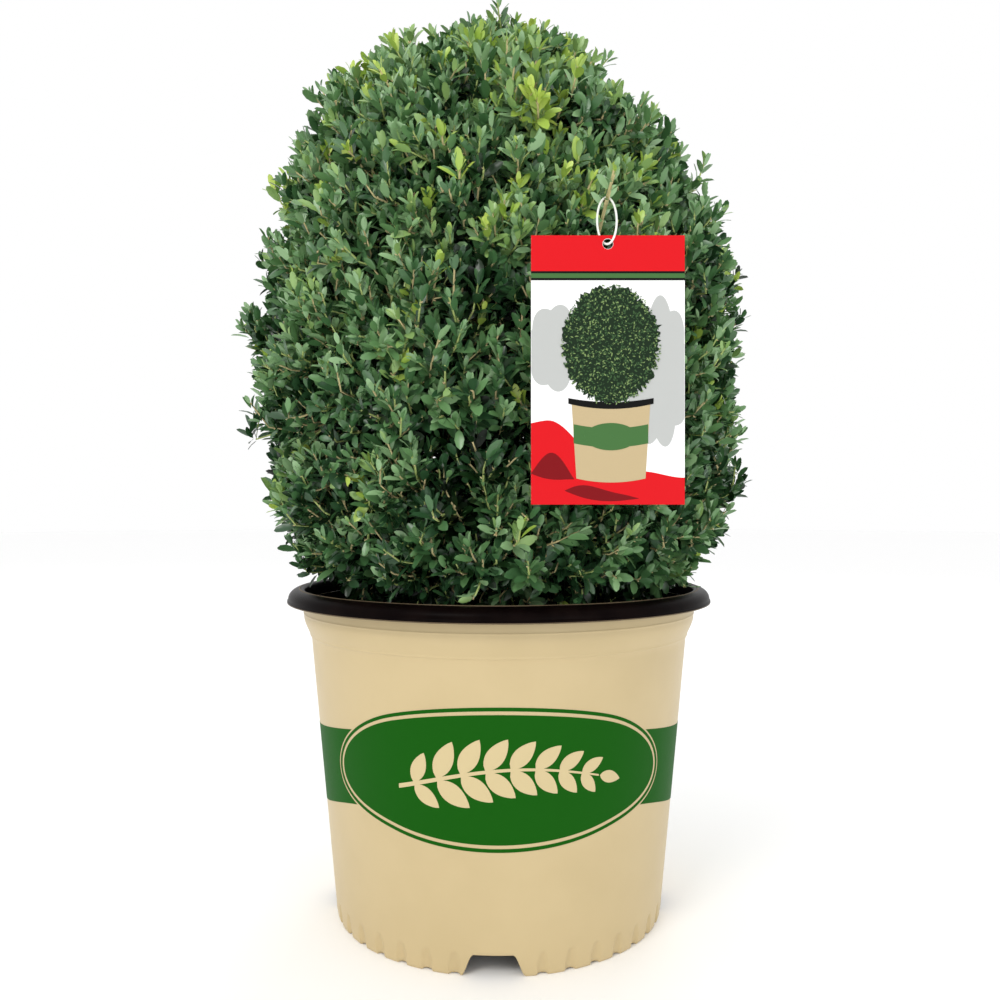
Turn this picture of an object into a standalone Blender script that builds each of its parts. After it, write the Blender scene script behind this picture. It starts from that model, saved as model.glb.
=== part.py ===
"""Boxwood cone topiary standing in its nursery pot.

A loosely clipped, blunt-cone boxwood: a tapering stem with a root flare, one bough for
each mass of foliage, four tiers of foliage masses round a bare core, the pot with its
rolled rim and potting mix, and a plain plant label on an elastic tie.
Metres, +Z up, origin under the middle of the pot, the front towards -Y.
"""
import math

import bmesh
import bpy
import numpy as np
from mathutils import Vector

# Pot, a 3-gallon nursery pot
POT_HEIGHT = 0.2117
RIM_RADIUS = 0.1395
RIM_DEPTH = 0.0091
MOUTH_RADIUS = 0.1285
BASE_RADIUS = 0.1072
COLLAR_RADIUS = 0.1306
COLLAR_BOTTOM = 0.1913
SHOULDER_HEIGHT = 0.1770
SHOULDER_RADIUS = 0.1236
WALL = 0.0020
FLOOR_UNDERSIDE = 0.0135
FOOT_WIDTH = 0.0045
FLUTES = 40
FLUTE_DEPTH = 0.0012
FLUTE_HEIGHT = 0.020
DRAIN_HEIGHT = 0.0126
DRAIN_TOP_WIDTH = 0.0225
DRAIN_BOTTOM_WIDTH = 0.0365
POT_TURN = math.radians(-1.6)
MIX_TOP = 0.188
MIX_CROWN = 0.0025

# Stem and boughs
STEM_FOOT_RADIUS = 0.0100
STEM_TIP_RADIUS = 0.0034
FLARE_WIDTH = 0.0075
FLARE_HEIGHT = 0.020
FLARE_LOBES = 5
BOUGH_RADIUS = 0.0052
BOUGH_TIP_RADIUS = 0.0026

# Crown
CROWN_RADIUS = 0.1580
CROWN_WAIST = 0.360
CROWN_TOP = 0.600
CROWN_BOTTOM = 0.196
UPPER_SWELL = (2.0, 0.57)
LOWER_SWELL = (3.5, 0.30)
CROWN_LEAN = 0.020
RIPPLE = 0.0028
TIER_SLOPE = 0.30
CORE_GAP = 0.0010

# Rings of a mass from its inner to its outer side: place between core and outline from
# -1 to 1, and share of the sector that the ring fills
MASS_RINGS = ((-1.0, 0.70), (-0.86, 0.99), (0.30, 1.0), (0.92, 0.985), (1.0, 0.78), (1.0, 0.39))
MASS_SIDE_STEPS = 4
CORNER_CUT = 0.06

# name, lowest height, highest height, number of masses, turn of the first, core radius,
# height at which its boughs leave the stem
TIERS = (
    ("lower", CROWN_BOTTOM, 0.290, 5, -90.0, 0.044, 0.206),
    ("middle", 0.290, 0.382, 5, -54.0, 0.046, 0.244),
    ("upper", 0.382, 0.468, 4, -90.0, 0.038, 0.312),
    ("shoulder", 0.468, 0.540, 4, -135.0, 0.032, 0.400),
)
DOME_BOTTOM = 0.540

# Sprigs that stand out furthest: turn in degrees, height, how far past the crown
TIPS = (
    (180.0, 0.394, 0.0125),
    (2.0, 0.415, 0.0120),
    (8.0, 0.318, 0.0050),
    (176.0, 0.262, 0.0050),
    (92.0, 0.372, 0.0070),
    (40.0, 0.300, 0.0050),
    (140.0, 0.330, 0.0060),
    (216.0, 0.345, 0.0050),
    (318.0, 0.250, 0.0045),
)
TIP_SPREAD = 0.018

# Label and its tie
LABEL_WIDTH = 0.0765
LABEL_HEIGHT = 0.1340
LABEL_THICKNESS = 0.0009
LABEL_MIDDLE_X = 0.0545
LABEL_TOP = 0.4000
LABEL_FRONT = -0.1672
HOLE_RADIUS = 0.0026
HOLE_DROP = 0.0042
TIE_HEIGHT = 0.0260
TIE_HALF_WIDTH = 0.0045
TIE_HALF_DEPTH = 0.0034
TIE_RADIUS = 0.0005
TIE_LEAN = 0.34

CLEARANCE = 0.0004


# ---------------------------------------------------------------- helpers

def clear_scene():
    """Remove every object, so that the model starts from nothing."""
    for existing in list(bpy.data.objects):
        bpy.data.objects.remove(existing, do_unlink=True)


def make_material(name, colour, roughness, metallic=0.0):
    """A Principled material with a plain colour."""
    material = bpy.data.materials.new(name)
    material.use_nodes = True
    shader = material.node_tree.nodes["Principled BSDF"]
    shader.inputs["Base Color"].default_value = (*colour, 1.0)
    shader.inputs["Roughness"].default_value = roughness
    shader.inputs["Metallic"].default_value = metallic
    return material


def add_solid(name, points, faces, material, smooth_angle=40.0):
    """A closed mesh object from points and faces, with its faces pointing outwards."""
    mesh = bpy.data.meshes.new(name)
    mesh.from_pydata([tuple(point) for point in points], [], faces)
    work = bmesh.new()
    work.from_mesh(mesh)
    bmesh.ops.recalc_face_normals(work, faces=work.faces)
    work.to_mesh(mesh)
    work.free()
    mesh.shade_smooth()
    mesh.set_sharp_from_angle(angle=math.radians(smooth_angle))
    mesh.materials.append(material)
    solid = bpy.data.objects.new(name, mesh)
    bpy.context.scene.collection.objects.link(solid)
    return solid


def band_faces(first, second, count):
    """Quads between two closed rings of count points that start at these numbers."""
    faces = []
    for step in range(count):
        following = (step + 1) % count
        faces.append((first + step, first + following, second + following, second + step))
    return faces


def fan_faces(centre, ring, count):
    """Triangles between a single point and a closed ring of count points."""
    return [(centre, ring + step, ring + (step + 1) % count) for step in range(count)]


def stacked_rings(rings, start=None, end=None):
    """Join rings of equally many points, closed by a point or a flat cap at each end."""
    count = len(rings[0])
    points = [point for ring in rings for point in ring]
    faces = []
    for level in range(len(rings) - 1):
        faces += band_faces(level * count, (level + 1) * count, count)
    last = (len(rings) - 1) * count
    if start is None:
        faces.append(tuple(range(count)))
    else:
        points.append(start)
        faces += fan_faces(len(points) - 1, 0, count)
    if end is None:
        faces.append(tuple(range(last, last + count)))
    else:
        points.append(end)
        faces += fan_faces(len(points) - 1, last, count)
    return points, faces


def turned_ring(radius, height, segments, cut=None):
    """One ring of a turned shape; cut gives how far each point is set in."""
    ring = []
    for step in range(segments):
        angle = 2.0 * math.pi * step / segments
        here = radius - (cut(step) if cut else 0.0)
        ring.append((here * math.cos(angle), here * math.sin(angle), height))
    return ring


def hide_cutter(cutter):
    """Mark an object as a tool that only cuts."""
    cutter.hide_render = True
    cutter.display_type = "WIRE"


def cut_away(solid, cutter):
    """Cut the cutter's shape out of a solid."""
    cut = solid.modifiers.new("cut", "BOOLEAN")
    cut.operation = "DIFFERENCE"
    cut.solver = "EXACT"
    cut.object = cutter


# ---------------------------------------------------------------- pot

def wall_radius(height):
    """Outer radius of the tapering wall below the shoulder."""
    return BASE_RADIUS + (SHOULDER_RADIUS - BASE_RADIUS) * height / SHOULDER_HEIGHT


def flute_cut(height):
    """How far every second point of the foot is set in at this height."""
    fade = max(0.0, 1.0 - height / FLUTE_HEIGHT)
    return lambda step: FLUTE_DEPTH * fade * (step % 2)


def closed_band(rings):
    """Join rings into a closed band, the last one back to the first."""
    count = len(rings[0])
    points = [point for ring in rings for point in ring]
    faces = []
    for level in range(len(rings)):
        following = (level + 1) % len(rings)
        faces += band_faces(level * count, following * count, count)
    return points, faces


def make_pot_wall(cream):
    """Cream wall with its shoulder and collar, on a fluted foot with four drain notches."""
    segments = 2 * FLUTES
    ledge = FLOOR_UNDERSIDE - CLEARANCE
    collar_top = POT_HEIGHT - RIM_DEPTH - CLEARANCE
    foot_inner = BASE_RADIUS - FOOT_WIDTH
    rings = [turned_ring(foot_inner, 0.0, segments)]
    for height in (0.0, 0.5 * FLUTE_HEIGHT, FLUTE_HEIGHT):
        rings.append(turned_ring(wall_radius(height), height, segments, flute_cut(height)))
    rings += [
        turned_ring(SHOULDER_RADIUS, SHOULDER_HEIGHT, segments),
        turned_ring(COLLAR_RADIUS, COLLAR_BOTTOM, segments),
        turned_ring(COLLAR_RADIUS, collar_top, segments),
        turned_ring(COLLAR_RADIUS - WALL, collar_top, segments),
        turned_ring(COLLAR_RADIUS - WALL, COLLAR_BOTTOM, segments),
        turned_ring(SHOULDER_RADIUS - WALL, SHOULDER_HEIGHT, segments),
        turned_ring(wall_radius(ledge) - WALL, ledge, segments),
        turned_ring(foot_inner, ledge, segments),
    ]
    points, faces = closed_band(rings)
    wall = add_solid("pot_wall", points, faces, cream)
    wall.rotation_euler = (0.0, 0.0, POT_TURN)
    for turn in (0.0, 90.0):
        cut_away(wall, make_drain_cutter(turn))
    return wall


def make_pot_floor(cream):
    """Floor of the pot, which lies on the ledge inside the foot."""
    radius = wall_radius(FLOOR_UNDERSIDE) - WALL - CLEARANCE
    rings = [turned_ring(radius, FLOOR_UNDERSIDE + lift, FLUTES) for lift in (0.0, WALL)]
    points, faces = stacked_rings(rings)
    return add_solid("pot_floor", points, faces, cream)


def make_drain_cutter(turn):
    """A long bar whose ends cut two opposite drain notches in the foot."""
    below = 0.002
    flare = (DRAIN_BOTTOM_WIDTH - DRAIN_TOP_WIDTH) / 2.0 / DRAIN_HEIGHT
    low = DRAIN_BOTTOM_WIDTH / 2.0 + flare * below
    high = DRAIN_TOP_WIDTH / 2.0
    outline = ((-low, -below), (low, -below), (high, DRAIN_HEIGHT), (-high, DRAIN_HEIGHT))
    reach = RIM_RADIUS
    rings = [[(x, y, z) for x, z in outline] for y in (-reach, reach)]
    points, faces = stacked_rings(rings)
    grey = make_material("cutter", (0.5, 0.5, 0.5), 0.5)
    cutter = add_solid(f"drain_cutter_{int(turn)}", points, faces, grey)
    cutter.rotation_euler = (0.0, 0.0, POT_TURN + math.radians(turn))
    hide_cutter(cutter)
    return cutter


def make_pot_rim():
    """Rolled black rim: a quarter ellipse outside, a small lip below, a straight throat."""
    segments = 64
    low = POT_HEIGHT - RIM_DEPTH
    crest = MOUTH_RADIUS + 0.0035
    outline = [(MOUTH_RADIUS, low), (RIM_RADIUS - 0.0012, low), (RIM_RADIUS, low + 0.0014)]
    for step in (1, 2, 3):
        angle = step * math.pi / 6.0
        across = (RIM_RADIUS - 0.0004 - crest) * math.cos(angle)
        upward = (RIM_DEPTH - 0.0014) * math.sin(angle)
        outline.append((crest + across, low + 0.0014 + upward))
    outline.append((MOUTH_RADIUS, POT_HEIGHT - 0.0020))
    points, faces = closed_band([turned_ring(radius, height, segments)
                                 for radius, height in outline])
    black = make_material("black plastic", (0.012, 0.009, 0.008), 0.35)
    return add_solid("pot_rim", points, faces, black)


def make_potting_mix():
    """Bark mix that fills the pot up to a slightly domed top."""
    segments = 48
    bottom = FLOOR_UNDERSIDE + WALL + CLEARANCE
    inset = WALL + 3.0 * CLEARANCE
    edge = MIX_TOP - MIX_CROWN
    edge_radius = SHOULDER_RADIUS + (edge - SHOULDER_HEIGHT) * 0.35 - inset
    rings = [
        turned_ring(wall_radius(bottom) - inset, bottom, segments),
        turned_ring(SHOULDER_RADIUS - inset, SHOULDER_HEIGHT, segments),
        turned_ring(edge_radius, edge, segments),
        turned_ring(0.5 * edge_radius, MIX_TOP - 0.3 * MIX_CROWN, segments),
        turned_ring(0.2 * edge_radius, MIX_TOP, segments),
    ]
    points, faces = stacked_rings(rings)
    bark_mix = make_material("bark mix", (0.045, 0.028, 0.018), 0.95)
    return add_solid("potting_mix", points, faces, bark_mix)


# ---------------------------------------------------------------- crown shape

def crown_lean(height):
    """How far the crown's middle stands to the left (-X) at this height."""
    above = np.clip((height - CROWN_WAIST) / (CROWN_TOP - CROWN_WAIST), 0.0, 1.0)
    return -CROWN_LEAN * above * above


def crown_radius(turn, height):
    """Radius of the crown: an egg of two unlike halves, with ripples and outlying tips."""
    rise = CROWN_TOP - CROWN_WAIST
    fall = CROWN_WAIST - CROWN_BOTTOM
    above = np.clip((height - CROWN_WAIST) / rise, 0.0, 1.0)
    below = np.clip((CROWN_WAIST - height) / fall, 0.0, 0.985)
    upper = (1.0 - above ** UPPER_SWELL[0]) ** UPPER_SWELL[1]
    lower = (1.0 - below ** LOWER_SWELL[0]) ** LOWER_SWELL[1]
    egg = CROWN_RADIUS * upper * lower
    wave = np.sin(3.0 * turn + 31.0 * height) + 0.8 * np.sin(5.0 * turn - 47.0 * height + 1.3)
    calm = np.clip((height - POT_HEIGHT - 0.004) / 0.03, 0.0, 1.0)
    radius = egg + RIPPLE * wave * calm * np.clip(egg / 0.10, 0.0, 1.0) ** 2
    for tip_turn, tip_height, reach in TIPS:
        away = np.angle(np.exp(1j * (turn - math.radians(tip_turn)))) * CROWN_RADIUS
        distance = away ** 2 + (height - tip_height) ** 2
        radius = radius + reach * np.exp(-distance / (2.0 * TIP_SPREAD ** 2))
    return np.maximum(radius, 0.0)


def tier_floor(base, distance):
    """Height of the sloping surface between two tiers, which rises outwards."""
    slope = 0.0 if base <= CROWN_BOTTOM else TIER_SLOPE
    return base + slope * (distance - 0.6 * CROWN_RADIUS)


# ---------------------------------------------------------------- stem and boughs

def stem_point(height):
    """Middle of the stem, which bends a little and follows the crown's lean."""
    along = (height - MIX_TOP) / (DOME_BOTTOM - MIX_TOP)
    bend = 0.0035 * math.sin(math.pi * along)
    return Vector((float(crown_lean(height)) + bend, -0.6 * bend, height))


def stem_radius(height):
    """Radius of the stem above its root flare."""
    along = (height - MIX_TOP) / (DOME_BOTTOM - MIX_TOP)
    return STEM_FOOT_RADIUS + (STEM_TIP_RADIUS - STEM_FOOT_RADIUS) * along ** 0.8


def make_stem():
    """Tapering stem, from a flat cut on the potting mix to where it enters the top mass."""
    segments = 15
    foot = MIX_TOP + CLEARANCE
    top = float(tier_floor(DOME_BOTTOM, 0.0)) - 3.0 * CLEARANCE
    heights = [foot, foot + 0.006, foot + 0.014, foot + 0.026]
    heights += list(np.linspace(foot + 0.06, top, 6))
    rings = []
    for height in heights:
        middle = stem_point(height)
        flare = FLARE_WIDTH * math.exp(-(height - foot) / (0.4 * FLARE_HEIGHT))
        ring = []
        for step in range(segments):
            angle = 2.0 * math.pi * step / segments
            lobe = 0.7 + 0.3 * math.cos(FLARE_LOBES * angle + 0.5)
            radius = stem_radius(height) + flare * lobe
            ring.append((middle.x + radius * math.cos(angle),
                         middle.y + radius * math.sin(angle), height))
        rings.append(ring)
    points, faces = stacked_rings(rings)
    bark = make_material("bark", (0.190, 0.120, 0.065), 0.85)
    return add_solid("trunk", points, faces, bark), bark


def make_bough(name, turn, leave_height, core_radius, enter_height, bark):
    """One tapering limb that rises in a curve from the stem to its mass."""
    segments = 8
    outward = Vector((math.cos(turn), math.sin(turn), 0.0))
    start = stem_point(leave_height)
    start += outward * (stem_radius(leave_height) + BOUGH_RADIUS + CLEARANCE)
    end = Vector((float(crown_lean(enter_height)), 0.0, enter_height))
    end += outward * (core_radius - BOUGH_TIP_RADIUS - CLEARANCE)
    elbow = start.lerp(end, 0.5) + outward * 0.004 - Vector((0.0, 0.0, 0.003))
    rings = []
    for along in (0.0, 0.33, 0.67, 1.0):
        middle = (start * (1 - along) ** 2 + elbow * 2 * along * (1 - along)
                  + end * along ** 2)
        heading = ((elbow - start) * (1 - along) + (end - elbow) * along).normalized()
        side = Vector((-outward.y, outward.x, 0.0))
        up = heading.cross(side).normalized()
        radius = BOUGH_RADIUS + (BOUGH_TIP_RADIUS - BOUGH_RADIUS) * along
        ring = []
        for step in range(segments):
            angle = 2.0 * math.pi * step / segments
            ring.append(middle + side * radius * math.cos(angle) + up * radius * math.sin(angle))
        rings.append(ring)
    points, faces = stacked_rings(rings)
    return add_solid(name, points, faces, bark)


# ---------------------------------------------------------------- foliage masses

def place_in_crown(depth, sideways, upward, tier, turn, half_angle):
    """Carry block coordinates into a sector of the crown between core and outline."""
    _, low, high, _, _, core_radius, _ = tier
    angle = turn + sideways * half_angle
    share = (upward + 1.0) / 2.0
    distance = np.full(np.shape(depth), 0.6 * CROWN_RADIUS)
    for _ in range(6):
        base = tier_floor(low, distance) + CORE_GAP
        top = tier_floor(high, distance) - CORE_GAP
        height = base + (top - base) * share
        outline = crown_radius(angle, height)
        distance = core_radius + (depth + 1.0) / 2.0 * (outline - core_radius)
    x = distance * np.cos(angle) + crown_lean(height)
    y = distance * np.sin(angle)
    return np.stack([x, y, height], axis=-1)


def rounded_square():
    """Points at even steps round a square from -1 to 1 whose corners are cut back."""
    steps = np.arange(MASS_SIDE_STEPS) * 2.0 / MASS_SIDE_STEPS - 1.0
    ones = np.ones(MASS_SIDE_STEPS)
    across = np.concatenate([steps, ones, -steps, -ones])
    upward = np.concatenate([-ones, steps, ones, -steps])
    shrink = 1.0 - CORNER_CUT * (across * upward) ** 2
    return across * shrink, upward * shrink


def reach_tips(rings, tier, turn, half_angle):
    """Carry the point of a mass that is nearest to each of its outlying tips out to it."""
    for tip_turn, tip_height, reach in TIPS:
        tip_angle = math.radians(tip_turn)
        aside = abs(np.angle(np.exp(1j * (tip_angle - turn))))
        low = tier_floor(tier[1], CROWN_RADIUS)
        high = tier_floor(tier[2], CROWN_RADIUS)
        if aside > half_angle - 0.03 or not low + 0.004 < tip_height < high - 0.004:
            continue
        distance = CROWN_RADIUS + reach
        tip = np.array([distance * math.cos(tip_angle) + float(crown_lean(tip_height)),
                        distance * math.sin(tip_angle), tip_height])
        away = np.linalg.norm(rings - tip, axis=-1)
        rings[np.unravel_index(np.argmin(away), away.shape)] = tip


def make_mass(tier, index, leaf):
    """One uneven mass of foliage: a rounded block bent into a sector of its tier."""
    name, _, _, count, first_turn, core_radius, _ = tier
    turn = math.radians(first_turn) + 2.0 * math.pi * index / count
    half_angle = math.pi / count - CORE_GAP / core_radius / 2.0
    across, upward = rounded_square()
    depth = np.array([[ring[0]] * len(across) for ring in MASS_RINGS])
    spread = np.array([[ring[1]] for ring in MASS_RINGS])
    rings = place_in_crown(depth, spread * across, spread * upward, tier, turn, half_angle)
    reach_tips(rings, tier, turn, half_angle)
    ends = np.array([-1.0, 1.0])
    poles = place_in_crown(ends, np.zeros(2), np.zeros(2), tier, turn, half_angle)
    points, faces = stacked_rings([list(ring) for ring in rings], poles[0], poles[1])
    add_solid(f"foliage_{name}_{index + 1}", points, faces, leaf, 60.0)
    return turn, float(poles[0][2])


def make_dome(leaf):
    """The mass that closes the crown, with a sloping underside round the stem's tip."""
    around = 20
    turn = np.arange(around) * 2.0 * math.pi / around
    rings = []
    for share in (0.50, 0.93):
        distance = share * crown_radius(turn, np.full(around, DOME_BOTTOM))
        height = tier_floor(DOME_BOTTOM, distance) + CORE_GAP
        rings.append((distance, height))
    edge = float(rings[-1][1].max())
    for share in (0.06, 0.24, 0.44, 0.64, 0.82, 0.95):
        height = np.full(around, edge + (CROWN_TOP - edge) * share)
        rings.append((crown_radius(turn, height), height))
    loops = []
    for distance, height in rings:
        x = distance * np.cos(turn) + crown_lean(height)
        y = distance * np.sin(turn)
        loops.append(list(np.stack([x, y, height], axis=-1)))
    low = (float(crown_lean(DOME_BOTTOM)), 0.0, float(tier_floor(DOME_BOTTOM, 0.0)) + CORE_GAP)
    high = (float(crown_lean(CROWN_TOP)), 0.0, CROWN_TOP)
    points, faces = stacked_rings(loops, low, high)
    return add_solid("foliage_crown_top", points, faces, leaf, 60.0)


# ---------------------------------------------------------------- label

def make_label():
    """Thin plastic card that hangs in front of the crown, with a round hole for its tie."""
    left = LABEL_MIDDLE_X - LABEL_WIDTH / 2.0
    right = LABEL_MIDDLE_X + LABEL_WIDTH / 2.0
    bottom = LABEL_TOP - LABEL_HEIGHT
    corners = ((left, bottom), (right, bottom), (right, LABEL_TOP), (left, LABEL_TOP))
    back = LABEL_FRONT + LABEL_THICKNESS
    rings = [[(x, y, z) for x, z in corners] for y in (LABEL_FRONT, back)]
    points, faces = stacked_rings(rings)
    white = make_material("label card", (0.85, 0.85, 0.84), 0.30)
    card = add_solid("label_card", points, faces, white, 30.0)
    segments = 20
    bore = []
    for y in (LABEL_FRONT - 0.002, back + 0.002):
        ring = []
        for step in range(segments):
            angle = 2.0 * math.pi * step / segments
            ring.append((LABEL_MIDDLE_X + HOLE_RADIUS * math.cos(angle), y,
                         LABEL_TOP - HOLE_DROP + HOLE_RADIUS * math.sin(angle)))
        bore.append(ring)
    points, faces = stacked_rings(bore)
    cutter = add_solid("hole_cutter", points, faces, white)
    hide_cutter(cutter)
    cut_away(card, cutter)
    return card


def tie_point(angle):
    """A stretched ring that passes through the card's hole and leans back at its top."""
    rise = TIE_HEIGHT * (1.0 - math.cos(angle)) / 2.0
    return Vector((
        LABEL_MIDDLE_X + TIE_HALF_WIDTH * math.sin(angle),
        LABEL_FRONT + LABEL_THICKNESS / 2.0 - TIE_HALF_DEPTH * math.sin(angle) + TIE_LEAN * rise,
        LABEL_TOP - HOLE_DROP + rise,
    ))


def make_tie():
    """Round elastic cord joined end to end."""
    steps = 28
    sides = 6
    rings = []
    for step in range(steps):
        angle = 2.0 * math.pi * step / steps
        middle = tie_point(angle)
        heading = (tie_point(angle + 0.05) - tie_point(angle - 0.05)).normalized()
        across = heading.cross(Vector((0.0, TIE_HALF_WIDTH, -0.001))).normalized()
        other = heading.cross(across)
        ring = []
        for side in range(sides):
            around = 2.0 * math.pi * side / sides
            ring.append(middle + TIE_RADIUS * (across * math.cos(around)
                                               + other * math.sin(around)))
        rings.append(ring)
    points, faces = closed_band(rings)
    elastic = make_material("elastic tie", (0.85, 0.85, 0.82), 0.60)
    return add_solid("label_tie", points, faces, elastic)


# ---------------------------------------------------------------- whole plant

def build():
    """Make every sub-part of the potted plant."""
    clear_scene()
    cream = make_material("cream plastic", (0.708, 0.571, 0.314), 0.42)
    make_pot_wall(cream)
    make_pot_floor(cream)
    make_pot_rim()
    make_potting_mix()
    _, bark = make_stem()
    leaf = make_material("box leaves", (0.050, 0.130, 0.045), 0.55)
    for tier in TIERS:
        for index in range(tier[3]):
            turn, enter_height = make_mass(tier, index, leaf)
            make_bough(f"bough_{tier[0]}_{index + 1}", turn, tier[6], tier[5], enter_height, bark)
    make_dome(leaf)
    make_label()
    make_tie()


build()
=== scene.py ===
"""Boxwood cone topiary in its nursery pot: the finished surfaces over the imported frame.

Run as a script. Every piece is a surface worked out with numpy in the frame's own metres:
+Z up, the front towards -Y, the origin under the middle of the pot.
"""

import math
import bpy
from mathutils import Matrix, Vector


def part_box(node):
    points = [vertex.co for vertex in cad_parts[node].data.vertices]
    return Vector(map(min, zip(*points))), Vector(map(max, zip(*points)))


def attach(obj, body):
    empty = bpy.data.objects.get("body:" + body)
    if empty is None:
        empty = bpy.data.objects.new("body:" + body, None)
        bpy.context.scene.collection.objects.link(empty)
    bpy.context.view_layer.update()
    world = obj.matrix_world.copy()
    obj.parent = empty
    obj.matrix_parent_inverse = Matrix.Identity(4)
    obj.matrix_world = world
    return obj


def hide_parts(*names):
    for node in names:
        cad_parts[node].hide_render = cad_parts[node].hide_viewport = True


bl_info = {
    "name": "Boxwood Cone Topiary",
    "version": (1, 0, 0),
    "blender": (4, 5, 0),
    "location": "View3D > Sidebar > Topiary",
    "description": "Grows a clipped boxwood cone on its packed limbs and finishes its pot",
    "category": "Object",
}

import bpy
import numpy as np
from bpy.props import FloatProperty, FloatVectorProperty, IntProperty, PointerProperty
from mathutils import Vector
from mathutils.bvhtree import BVHTree

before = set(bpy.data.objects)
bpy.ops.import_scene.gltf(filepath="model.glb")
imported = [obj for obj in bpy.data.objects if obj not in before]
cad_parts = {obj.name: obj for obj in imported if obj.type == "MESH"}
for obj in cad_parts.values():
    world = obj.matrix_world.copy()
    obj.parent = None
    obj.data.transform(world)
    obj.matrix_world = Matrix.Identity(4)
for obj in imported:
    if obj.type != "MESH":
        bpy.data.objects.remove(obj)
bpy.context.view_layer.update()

RIM_LOW, RIM_HIGH = (np.array(corner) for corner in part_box("pot_rim"))
CARD_LOW, CARD_HIGH = (np.array(corner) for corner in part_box("label_card"))
MIX_HIGH = np.array(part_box("potting_mix")[1])
FLOOR_LOW, FLOOR_HIGH = (np.array(corner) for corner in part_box("pot_floor"))
CROWN_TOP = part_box("foliage_crown_top")[1][2]
CROWN_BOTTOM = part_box("foliage_lower_1")[0][2]
MASSES = sorted(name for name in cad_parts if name.startswith("foliage_"))
BOUGHS = sorted(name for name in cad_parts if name.startswith("bough_"))
UP = np.array([0.0, 0.0, 1.0])
FULL_TURN = 2.0 * math.pi
FRONT = -math.pi / 2.0
GOLDEN_TURN = math.pi * (3.0 - math.sqrt(5.0))


# ---------------------------------------------------------------- settings

def shade(red, green, blue):
    """Linear colour of an everyday one from 0 to 255: a short line, then a power of 2.4."""
    level = np.array([red, green, blue]) / 255.0
    linear = np.where(level <= 0.04045, level / 12.92, ((level + 0.055) / 1.055) ** 2.4)
    return tuple(float(value) for value in linear)


def colour_setting(name, description, red, green, blue):
    """A colour that a user may change."""
    return FloatVectorProperty(name=name, description=description, subtype="COLOR", size=3,
                               min=0.0, max=1.0, default=shade(red, green, blue))


def length_setting(name, description, metres):
    """A length that a user may change."""
    return FloatProperty(name=name, description=description, unit="LENGTH",
                         subtype="DISTANCE", min=0.0, default=metres)


def count_setting(name, description, count):
    """A number of things that a user may change."""
    return IntProperty(name=name, description=description, min=1, default=count)


class StageSettings(bpy.types.PropertyGroup):
    """Floor, lights and camera."""

    floor_colour: colour_setting("Floor colour", "Plain pale floor", 253, 253, 253)
    floor_radius: length_setting("Floor radius", "Radius of the floor", 9.0)
    camera_distance: length_setting("Camera distance", "From the pot's axis", 0.635)
    camera_height: length_setting("Camera height", "Above the floor", 0.267)
    camera_aside: FloatProperty(name="Camera aside", description="Camera's offset along X",
                                unit="LENGTH", default=0.0008)
    lens: FloatProperty(name="Lens", description="Focal length in millimetres", default=33.84)
    lens_shift: FloatProperty(name="Lens shift", description="Rise as a share of the width",
                              default=0.0026)
    sky: FloatProperty(name="Sky", description="Strength of the white surroundings",
                       min=0.0, default=1.0)


class PotSettings(bpy.types.PropertyGroup):
    """Sizes and colours of the pot, its rim, print and potting mix."""

    shoulder_height: length_setting("Shoulder height", "Top of the straight wall", 0.1770)
    shoulder_radius: length_setting("Shoulder radius", "Wall there", 0.1235)
    base_radius: length_setting("Base radius", "Wall at the ground", 0.1072)
    collar_bottom: length_setting("Collar bottom", "Where the collar starts", 0.1945)
    collar_radius: length_setting("Collar radius", "Collar under the rim", 0.1288)
    foot_width: length_setting("Foot width", "Breadth of the foot", 0.0045)
    flute_depth: length_setting("Flute depth", "Depth of a groove of the foot", 0.0016)
    flute_height: length_setting("Flute height", "Height of a groove of the foot", 0.0135)
    flutes: count_setting("Flutes", "Grooves round the foot", 40)
    drain_height: length_setting("Drain height", "Height of a drain notch", 0.0126)
    drain_top: length_setting("Drain top", "Width of a notch at its top", 0.0225)
    drain_bottom: length_setting("Drain bottom", "Width of a notch at the ground", 0.0365)
    oval_height: length_setting("Oval height", "Height of the printed oval", 0.0822)
    oval_middle: length_setting("Oval middle", "Height of its centre", 0.1139)
    band_height: length_setting("Band height", "Height of the printed band", 0.0450)
    chips: count_setting("Chips", "Bark chips on the mix", 900)
    cream: colour_setting("Cream", "Outer skin of the wall", 197, 177, 135)
    cream_shade: colour_setting("Cream shade", "Duller patches of the wall", 193, 173, 131)
    print_green: colour_setting("Print green", "Band and oval", 18, 84, 10)
    print_cream: colour_setting("Print cream", "Sprig in the oval", 202, 184, 140)
    black: colour_setting("Black", "Lining and rim", 8, 4, 4)
    black_shade: colour_setting("Black shade", "Rubbed patches of the rim", 16, 9, 8)
    # painted highlight: pale tan of the two beads along the rim's crest and lip
    rim_highlight_colour: colour_setting("Rim highlight", "Painted highlight lines along the rim's crest and lip", 104, 90, 70)
    mix: colour_setting("Mix", "Bark mix", 46, 33, 24)
    mix_shade: colour_setting("Mix shade", "Damp bark mix", 22, 15, 11)
    chip: colour_setting("Chip", "Loose bark chips", 92, 66, 45)


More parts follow.
